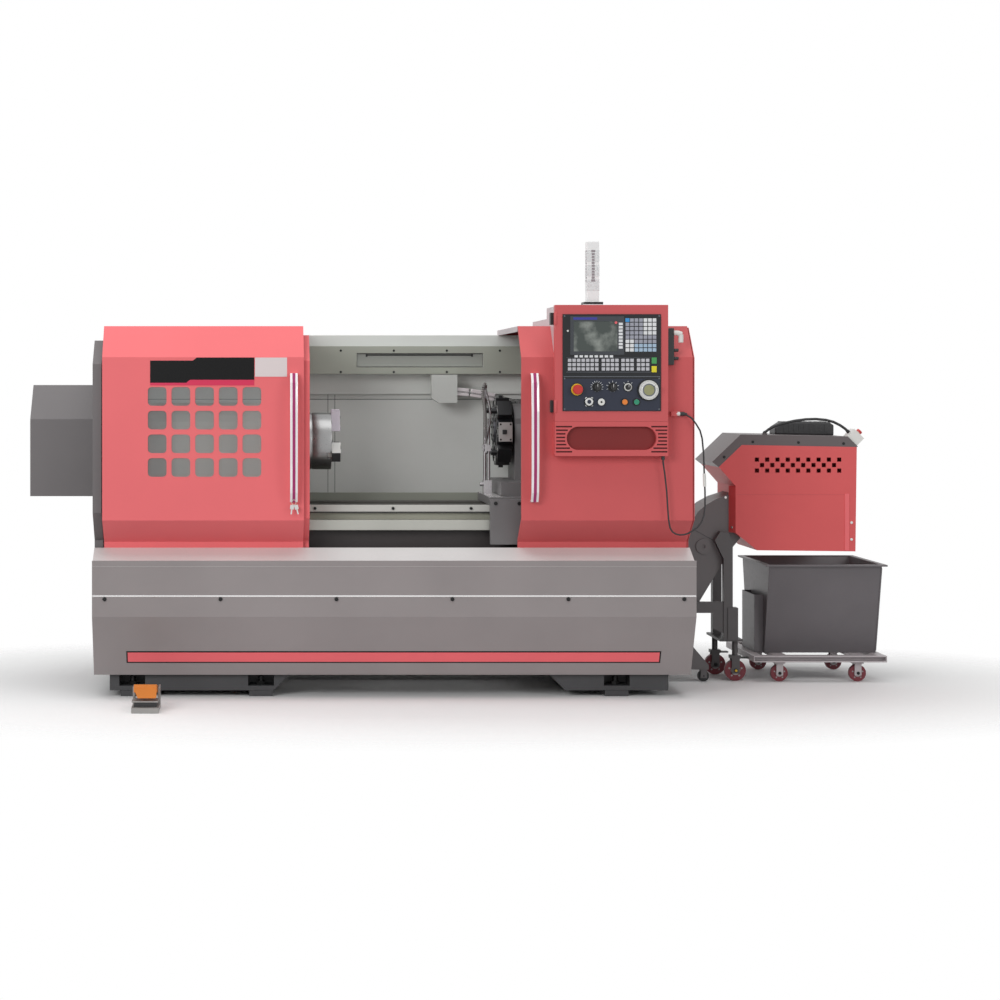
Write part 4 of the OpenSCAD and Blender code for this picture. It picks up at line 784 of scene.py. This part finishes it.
panel_disc("wheel_ring", panel_line, "hand_wheel", "steel", WHEEL_X, WHEEL_Z, 0.024, 0.0268, 0.001,
           edge=0.0003, sides=40)
bm = bmesh.new()
for k in range(50):
    add_bar(bm, (WHEEL_X - 0.0004, PANEL_Y - 0.0203, WHEEL_Z + 0.0335),
            (WHEEL_X + 0.0004, PANEL_Y - 0.0199, WHEEL_Z + 0.0385),
            turn=Matrix.Rotation(math.tau * k / 50, 3, "Y"), about=(WHEEL_X, PANEL_Y - 0.02, WHEEL_Z))
piece(bm, "wheel_scale", plate_black, "hand_wheel")
bars("console_hinges", black_plastic, "right_door", "black_plastic",
     *(((0.729, -0.5515, z - 0.0255), (0.7479, -0.52, z + 0.0255)) for z in (1.2395, 1.6075)), edge=0.002)

# Carriage: a painted iron saddle with an apron in front, and on it the coolant riser, a pair of steel pipes
# with a small valve and a jointed nozzle hose.
NOZZLE = [(0.508, -0.06, 1.322), (0.507, -0.07, 1.334), (0.503, -0.082, 1.33), (0.498, -0.09, 1.316),
          (0.495, -0.094, 1.296), (0.497, -0.096, 1.27), (0.5015, -0.097, 1.24), (0.505, -0.097, 1.21),
          (0.506, -0.097, 1.18), (0.506, -0.097, 1.15), (0.506, -0.097, 1.13)]
saddle_paint = material("saddle_paint", (114, 112, 113), rough=0.48, spread=0.08, grain=90, bump=0.1)
pipe_dull = material("pipe_dull", (166, 163, 165), rough=0.22, metal=0.95, spread=0.1, grain=250, bump=0.03)
pipe_steel = material("pipe_steel", (190, 190, 192), rough=0.3, metal=0.9, spread=0.08, grain=250, bump=0.03)
hose_grey = material("hose_grey", (122, 120, 118), rough=0.5, spread=0.06, bump=0.04)
dress(saddle_paint, "saddle", "cross_slide", soft=0.003)
dress(pipe_dull, "coolant_pipe")
dress(pipe_steel, "tailstock_quill")


def add_links(bm, route, pitch, radius, depth, edge, sides=20):
    """Short rounds threaded along a route, two or more on each leg of it."""
    for a, b in zip(map(Vector, route), map(Vector, route[1:])):
        count = max(2, round((b - a).length / pitch))
        for i in range(count):
            add_round(bm, a.lerp(b, (i + 0.5) / count), b - a, radius, depth, edge=edge, sides=sides)


rounds("apron_screws", black_screw, "carriage", "black_steel",
       [(0.5195 + 0.1005 * k, -0.3805, 0.822) for k in range(5)], ALONG_Y, 0.008, 0.006, edge=0.0015, sides=20)
bars("apron_trim", trim_and_highlight_steel, "carriage", "steel", ((0.5, -0.33, 0.8461), (0.555, 0.13, 0.8475)), edge=0.0005)
riser = [(0.5085 + 0.0215 * math.sin(math.pi * t) ** 1.4, -0.062 - 0.012 * math.sin(math.pi * t),
          1.066 + 0.256 * t) for t in (k / 24 for k in range(25))]
bm = bmesh.new()
add_links(bm, riser, 0.01, 0.0068, 0.0046, 0.0012, sides=16)
piece(bm, "coolant_hose", pipe_dull, "carriage")
bm = bmesh.new()
add_links(bm, NOZZLE, 0.0085, 0.0078, 0.0066, 0.0012)
add_round(bm, (0.506, -0.097, 1.113), (0, 0, -1), 0.0075, 0.034, tip=0.0035, sides=20)
piece(bm, "nozzle_hose", hose_grey, "carriage")

# Turret: a dark steel disc with eight bolted tool blocks, aluminium clamp plates with four screws each, and an
# indexing housing behind it. A pale junction box on an arm feeds it through a conduit of short pale links.
TURRET_Y, TURRET_Z, HUB_SCREWS = 0.13, 1.12, 0.038
FRONT_BLOCK = 2
CONDUIT_Y = 0.24
CONDUIT = [(0.411, 1.2988), (0.44, 1.2975), (0.5, 1.289), (0.56, 1.277), (0.62, 1.263), (0.66, 1.252),
           (0.68, 1.245), (0.69, 1.245)]
CONDUIT_LINKS = ((0.4125, 1.2988, 0.468, 1.2955), (0.475, 1.2945, 0.526, 1.2855), (0.533, 1.284, 0.584, 1.272))
disc_steel = material("disc_steel", (70, 70, 74), rough=0.35, metal=0.7, spread=0.1, grain=200, bump=0.04)
holder_black = material("holder_black", (38, 38, 40), rough=0.42, metal=0.3, spread=0.12, grain=250, bump=0.05)
clamp_alu = material("clamp_alu", (186, 186, 184), rough=0.35, metal=0.85, spread=0.06, bump=0.04)
box_pale = material("box_pale_paint", (196, 198, 194), rough=0.42, spread=0.04, grain=400)
link_pale = material("link_pale", (216, 209, 211), rough=0.35, metal=0.3, bump=0.03)
dress(disc_steel, "turret_disc", soft=0.002)
dress(holder_black, "tool_holders", soft=0.002)
dress(box_pale, "cable_box")
about = (0, TURRET_Y, TURRET_Z)
plates, caps, screws = bmesh.new(), bmesh.new(), bmesh.new()
for k in range(8):
    turn = turned(45 * k)
    add_bar(plates, (0.5728, TURRET_Y - 0.022, TURRET_Z + 0.112), (0.574, TURRET_Y + 0.022, TURRET_Z + 0.144),
            edge=0.0004, turn=turn, about=about)
    add_bar(plates if k == FRONT_BLOCK else caps, (0.5745, TURRET_Y - 0.043, TURRET_Z + 0.147),
            (0.6355, TURRET_Y + 0.043, TURRET_Z + 0.1515), edge=0.0008, turn=turn, about=about)
    if k == FRONT_BLOCK:
        for x in (0.583, 0.627):
            for y in (-0.034, 0.034):
                add_round(screws, Vector(about) + turn @ Vector((x, y, 0.1522)), turn @ Vector(ALONG_Z),
                          0.0045, 0.0018, edge=0.0004, sides=16)
    for y in (-0.016, 0.016):
        for z in (0.118, 0.138):
            add_round(screws, Vector(about) + turn @ Vector((0.5722, y, z)), ALONG_X, 0.004, 0.0014, edge=0.0004,
                      sides=16)
    add_round(screws, Vector(about) + turn @ Vector((0.5708, 0, 0.075)), ALONG_X, 0.009, 0.003, edge=0.0008,
              sides=20)
for y, z in ring(6, HUB_SCREWS):
    add_round(screws, (0.563, TURRET_Y + y, TURRET_Z + z), ALONG_X, 0.0055, 0.003, edge=0.0008, sides=16)
piece(plates, "clamp_plates", clamp_alu, "turret")
piece(caps, "block_caps", holder_black, "turret")
piece(screws, "turret_screws", black_screw, "turret")
bm = bmesh.new()
for xa, za, xb, zb in CONDUIT_LINKS:
    mid = ((xa + xb) / 2, CONDUIT_Y, (za + zb) / 2)
    half = math.hypot(xb - xa, zb - za) / 2
    add_bar(bm, (mid[0] - half, 0.225, mid[2] - 0.0175), (mid[0] + half, 0.255, mid[2] + 0.0175), edge=0.0015,
            turn=Matrix.Rotation(-math.atan2(zb - za, xb - xa), 3, "Y"), about=mid)
piece(bm, "conduit_links", link_pale, "cross_slide")
bm = bmesh.new()
add_links(bm, [(x, CONDUIT_Y, z) for x, z in CONDUIT], 0.0055, 0.0157, 0.0034, 0.0009)
piece(bm, "conduit_ribs", black_rubber, "cross_slide")

# Tailstock: a casting in the headstock's paint, with two clamp nuts on its foot and a round quill lock on its
# front.
bm = bmesh.new()
for x in (1.04, 1.15):
    add_round(bm, (x, -0.27, 0.866), ALONG_Z, 0.015, 0.02, edge=0.002, sides=6)
add_round(bm, (1.095, -0.182, 1.09), ALONG_Y, 0.014, 0.02, edge=0.002)
piece(bm, "tailstock_nuts", black_screw, "tailstock")

# Foot switch: a grey steel base plate with a bent orange treadle on a cross pin, its tread studded. An apron
# hangs from the treadle's front edge over the black switch.
PEDAL_X = -0.957
TREAD_DROP, TREAD_RUN, STUD_PITCH = 0.026, 0.144, 0.018
drive_black = material("drive_black_paint", (44, 44, 46), rough=0.45, spread=0.08, bump=0.04)
base_grey = material("pedal_grey", (150, 148, 146), metal=0.4, spread=0.1, grain=200, bump=0.05)
treadle_orange = material("treadle_orange", (216, 126, 44), rough=0.38, spread=0.06, bump=0.03)
dress(base_grey, "pedal_base", soft=0.0015)
dress(treadle_orange, "pedal_treadle", soft=0.0015)
tread_up = (0, math.sin(math.atan2(TREAD_DROP, TREAD_RUN)), 1)
rounds("tread_studs", black_rubber, "pedal", "black_rubber",
       [(-0.989 + 0.016 * i, -0.832 + STUD_PITCH * j,
         0.1125 - TREAD_DROP * ((0.009 + STUD_PITCH * j) / TREAD_RUN)) for i in range(5) for j in range(7)],
       tread_up, 0.0035, 0.003, edge=0.0006, sides=12)
plate("treadle_apron", treadle_orange, "pedal",
      [(PEDAL_X - 0.046, 0.1), (PEDAL_X - 0.03, 0.0605), (PEDAL_X + 0.042, 0.0605), (PEDAL_X + 0.046, 0.066),
       (PEDAL_X + 0.046, 0.1)], -0.8745, -0.8715)
bars("pedal_plate", base_grey, "machine", "dark_paint",
     ((PEDAL_X - 0.055, -0.856, 0.04), (PEDAL_X + 0.052, -0.7625, 0.0465)), edge=0.001)
bars("pedal_switch", drive_black, "machine", "dark_paint",
     ((PEDAL_X - 0.046, -0.85, 0.0222), (PEDAL_X + 0.046, -0.77, 0.04)), edge=0.001)

# Chip conveyor: a grey trunk rising out of the base into a red head with a grey lid, a dark drive housing and a
# switch box with a red stop button. It stands on a dark grey leg with two casters and on a small tail wheel.
HEAD_Y, TRUNK_Y = 0.03, 0.075
SEAM_START, SEAM_END = (1.468, 0.676), (1.6, 0.603)
SLANT = Vector((math.sqrt(0.5), 0, math.sqrt(0.5)))
SCREW = dict(radius=0.0062, depth=0.003, edge=0.001, sides=16)
head_red = red_paint("head_red_paint", (220, 96, 97))
leg_grey = material("leg_grey_paint", (78, 75, 76), rough=0.45, spread=0.06, bump=0.03)
trunk_grey = material("trunk_grey_paint", (94, 90, 91), rough=0.42, spread=0.06, grain=400, bump=0.03)
lid_grey = material("lid_grey_paint", (90, 82, 83), grain=400)
dress(trunk_grey, "conveyor_trunk")
dress(head_red, "conveyor_head", soft=0.0012)
dress(lid_grey, "conveyor_cover", soft=0.0012)
dress(drive_black, "conveyor_motor", soft=0.006)
dress(leg_grey, "conveyor_leg", soft=0.0012)
dress(pale_plastic, "conveyor_switch", soft=0.0012)
bm = bmesh.new()
for x, z in ((1.588, 1.007), (1.716, 1.0746), (1.92, 1.072), (2.122, 1.0675)):
    add_round(bm, (x, HEAD_Y - 0.0015, z), ALONG_Y, **SCREW)
for k in range(4):
    add_round(bm, (2.1745, 0.07 + 0.095 * k, 0.62), ALONG_X, 0.006, 0.004, edge=0.001, sides=16)
piece(bm, "head_screws", black_screw, "machine")
bm = bmesh.new()
for spot, facing in (((2.157, HEAD_Y - 0.0015, 0.714), ALONG_Y), ((2.157, HEAD_Y - 0.0015, 0.639), ALONG_Y),
                     ((1.604, 0.0735, 0.824), ALONG_Y), ((1.6272, 0.0522, 0.691), (0.906, 0.423, 0))):
    add_round(bm, spot, facing, **SCREW)
piece(bm, "bright_screws", bright_steel, "machine")
bars("head_fold", door_red, "machine", "red_paint",
     ((2.127, HEAD_Y - 0.0025, 0.588), (2.147, HEAD_Y, 0.843)), edge=0.0008)
# A thin line of painted shade along the head's seam.
bars("head_seam", shaded_red, "machine", "red_paint",
     ((1.642, HEAD_Y - 0.0006, 0.8385), (2.127, HEAD_Y, 0.8405)), edge=0.0002)
foot = Vector((2.141, 0.04, 1.099)) + Vector((0.03, 0, -0.03)) * math.sqrt(0.5) + Vector((0, 0.035, 0))
rounds("switch_stop", stop_red, "machine", "red_plastic", [foot + SLANT * 0.0595], SLANT, 0.0135, 0.012,
       edge=0.003, sides=32)
rounds("switch_ring", button_orange, "machine", "orange_plastic", [foot + SLANT * 0.0492], SLANT, 0.0178, 0.004,
       edge=0.001, sides=32)
bm = bmesh.new()
add_round(bm, (1.7795, HOSE_Y, 1.1148), (1, 0, 0.9), 0.0085, 0.011, edge=0.001, sides=6)
add_round(bm, (2.1535, HOSE_Y, 1.1205), (1, 0, -1), 0.0085, 0.012, edge=0.001, sides=6)
piece(bm, "hose_glands", black_rubber, "machine")
run = Vector((SEAM_END[0] - SEAM_START[0], 0, SEAM_END[1] - SEAM_START[1]))
mid = ((SEAM_START[0] + SEAM_END[0]) / 2, TRUNK_Y - 0.0006, (SEAM_START[1] + SEAM_END[1]) / 2)
bars("trunk_seam", drive_black, "machine", "dark_paint",
     ((mid[0] - run.length / 2, TRUNK_Y - 0.0012, mid[2] - 0.0012),
      (mid[0] + run.length / 2, TRUNK_Y, mid[2] + 0.0012)),
     turn=Matrix.Rotation(-math.atan2(run.z, run.x), 3, "Y"), about=mid)
bm = bmesh.new()
for k in range(9):
    x = 0.0235 * k
    add_bar(bm, (1.902 + x, 0.24, 1.1596), (1.914 + x, 0.337, 1.1622), edge=0.001)
    add_bar(bm, (1.902 + x, 0.2302, 1.115), (1.914 + x, 0.232, 1.15), edge=0.0006)
piece(bm, "drive_ribs", drive_black, "machine")

# Wheels: burgundy moulded treads with a pale hub on a steel pin, held by hexagon nuts, and a small yellow mark
# on the front caster.
CASTER_R, CART_R = 0.047, 0.0375
CASTERS = ((1.65, 0.094), (1.605, 0.304))
CART_LEFT, CART_RIGHT = (((x, 0.071), (x, 0.47)) for x in (1.842, 2.193))
tread_red = material("tread_burgundy", (112, 38, 48), rough=0.5, spread=0.1, grain=250, bump=0.06)
hub_steel = material("hub_steel", (150, 148, 148), rough=0.35, metal=0.7, spread=0.08, grain=250, bump=0.04)
dress(tread_red, "caster_front_wheel", "caster_back_wheel", "cart_left_wheels", "cart_right_wheels", soft=0.004)
dress(black_rubber, "tail_wheel", soft=0.004)
for body, spots, r, half in (("caster_front", CASTERS[:1], CASTER_R, 0.013),
                             ("caster_back", CASTERS[1:], CASTER_R, 0.013),
                             ("cart_left", CART_LEFT, CART_R, 0.012), ("cart_right", CART_RIGHT, CART_R, 0.012)):
    bm = bmesh.new()
    for x, y in spots:
        for s in (-1, 1):
            add_round(bm, (x, y + s * (half + 0.0006), r), ALONG_Y, r * 0.45, 0.0016, edge=0.0005, sides=32)
            for dx, dz in ring(5, r * 0.62):
                add_round(bm, (x + dx, y + s * half, r + dz), ALONG_Y, r * 0.09, 0.0016, edge=0.0004, sides=16)
    piece(bm, body + "_hub", hub_steel, body)
bm = bmesh.new()
for x, y in CASTERS:
    for s in (-1, 1):
        add_round(bm, (x, y + s * 0.024, CASTER_R), ALONG_Y, 0.009, 0.005, edge=0.001, sides=6)
    add_bar(bm, (x + 0.024, y - 0.018, 0.1), (x + 0.06, y + 0.018, 0.106), edge=0.002)
piece(bm, "caster_nuts", black_screw, "machine")
rounds("brake_mark", ring_yellow, "machine", "orange_plastic", [(CASTERS[0][0], 0.0665, CASTER_R)], ALONG_Y,
       0.0055, 0.004, edge=0.001, sides=20)
rounds("cart_nuts", black_screw, "cart", "black_steel",
       [(x, y + s * 0.0225, CART_R) for x, y in CART_LEFT + CART_RIGHT for s in (-1, 1)], ALONG_Y, 0.008, 0.004,
       edge=0.001, sides=6)

# Cart: a welded channel frame under a pressed steel bin with a flat rim, its corners seam-welded, and a pocket
# for the tine of a lift truck on its left wall.
WELD_X, WELD_Z = (1.7925, 2.2925), (0.125, 0.515)
bin_grey = material("bin_grey_paint", (104, 100, 103), rough=0.45, spread=0.1, grain=70, bump=0.08)
frame_grey = material("frame_grey_paint", (186, 179, 181), rough=0.42, spread=0.08, grain=120, bump=0.05)
dress(bin_grey, "chip_bin", soft=0.002)
dress(frame_grey, "cart_frame", soft=0.002)
bm = bmesh.new()
for s in (-1, 1):
    lean, y = s * math.degrees(math.atan2(0.101, 0.406)), 0.2895 + s * 0.2105
    for x in WELD_X:
        add_bar(bm, (x - 0.003, y - 0.0022, WELD_Z[0]), (x + 0.003, y + 0.0022, WELD_Z[1]), edge=0.001,
                turn=turned(-lean), about=(x, y, 0.323))
piece(bm, "bin_welds", bin_grey, "cart")

# Electrical cabinet: a grey sheet case behind the headstock, its two doors hung on barrel hinges, with louvres
# above and below and one lever lock.
BACK_Y, LOUVRE_HALF, LOUVRE_PITCH, LOUVRE_H = 0.836, 0.1, 0.022, 0.01
cabinet_grey = material("cabinet_grey_paint", (150, 146, 146), grain=400, bump=0.03)
dress(cabinet_grey, "electrical_cabinet", soft=0.002)
bars("cabinet_louvres", cabinet_grey, "machine", "grey_paint",
     *(((x - LOUVRE_HALF, BACK_Y, z + LOUVRE_PITCH * k),
        (x + LOUVRE_HALF, 0.842, z + LOUVRE_H + LOUVRE_PITCH * k))
       for x in (-0.974, -0.626) for k in range(9) for z in (0.34, 1.2)), edge=0.002)
bm = bmesh.new()
for x in (-1.147, -0.453):
    for z in (0.35, 0.85, 1.35):
        add_round(bm, (x, 0.84, z), ALONG_Z, 0.007, 0.07, edge=0.001)
add_bar(bm, (-0.845, BACK_Y, 0.85), (-0.815, 0.844, 0.93), edge=0.003)
piece(bm, "cabinet_hinges", black_screw, "machine")
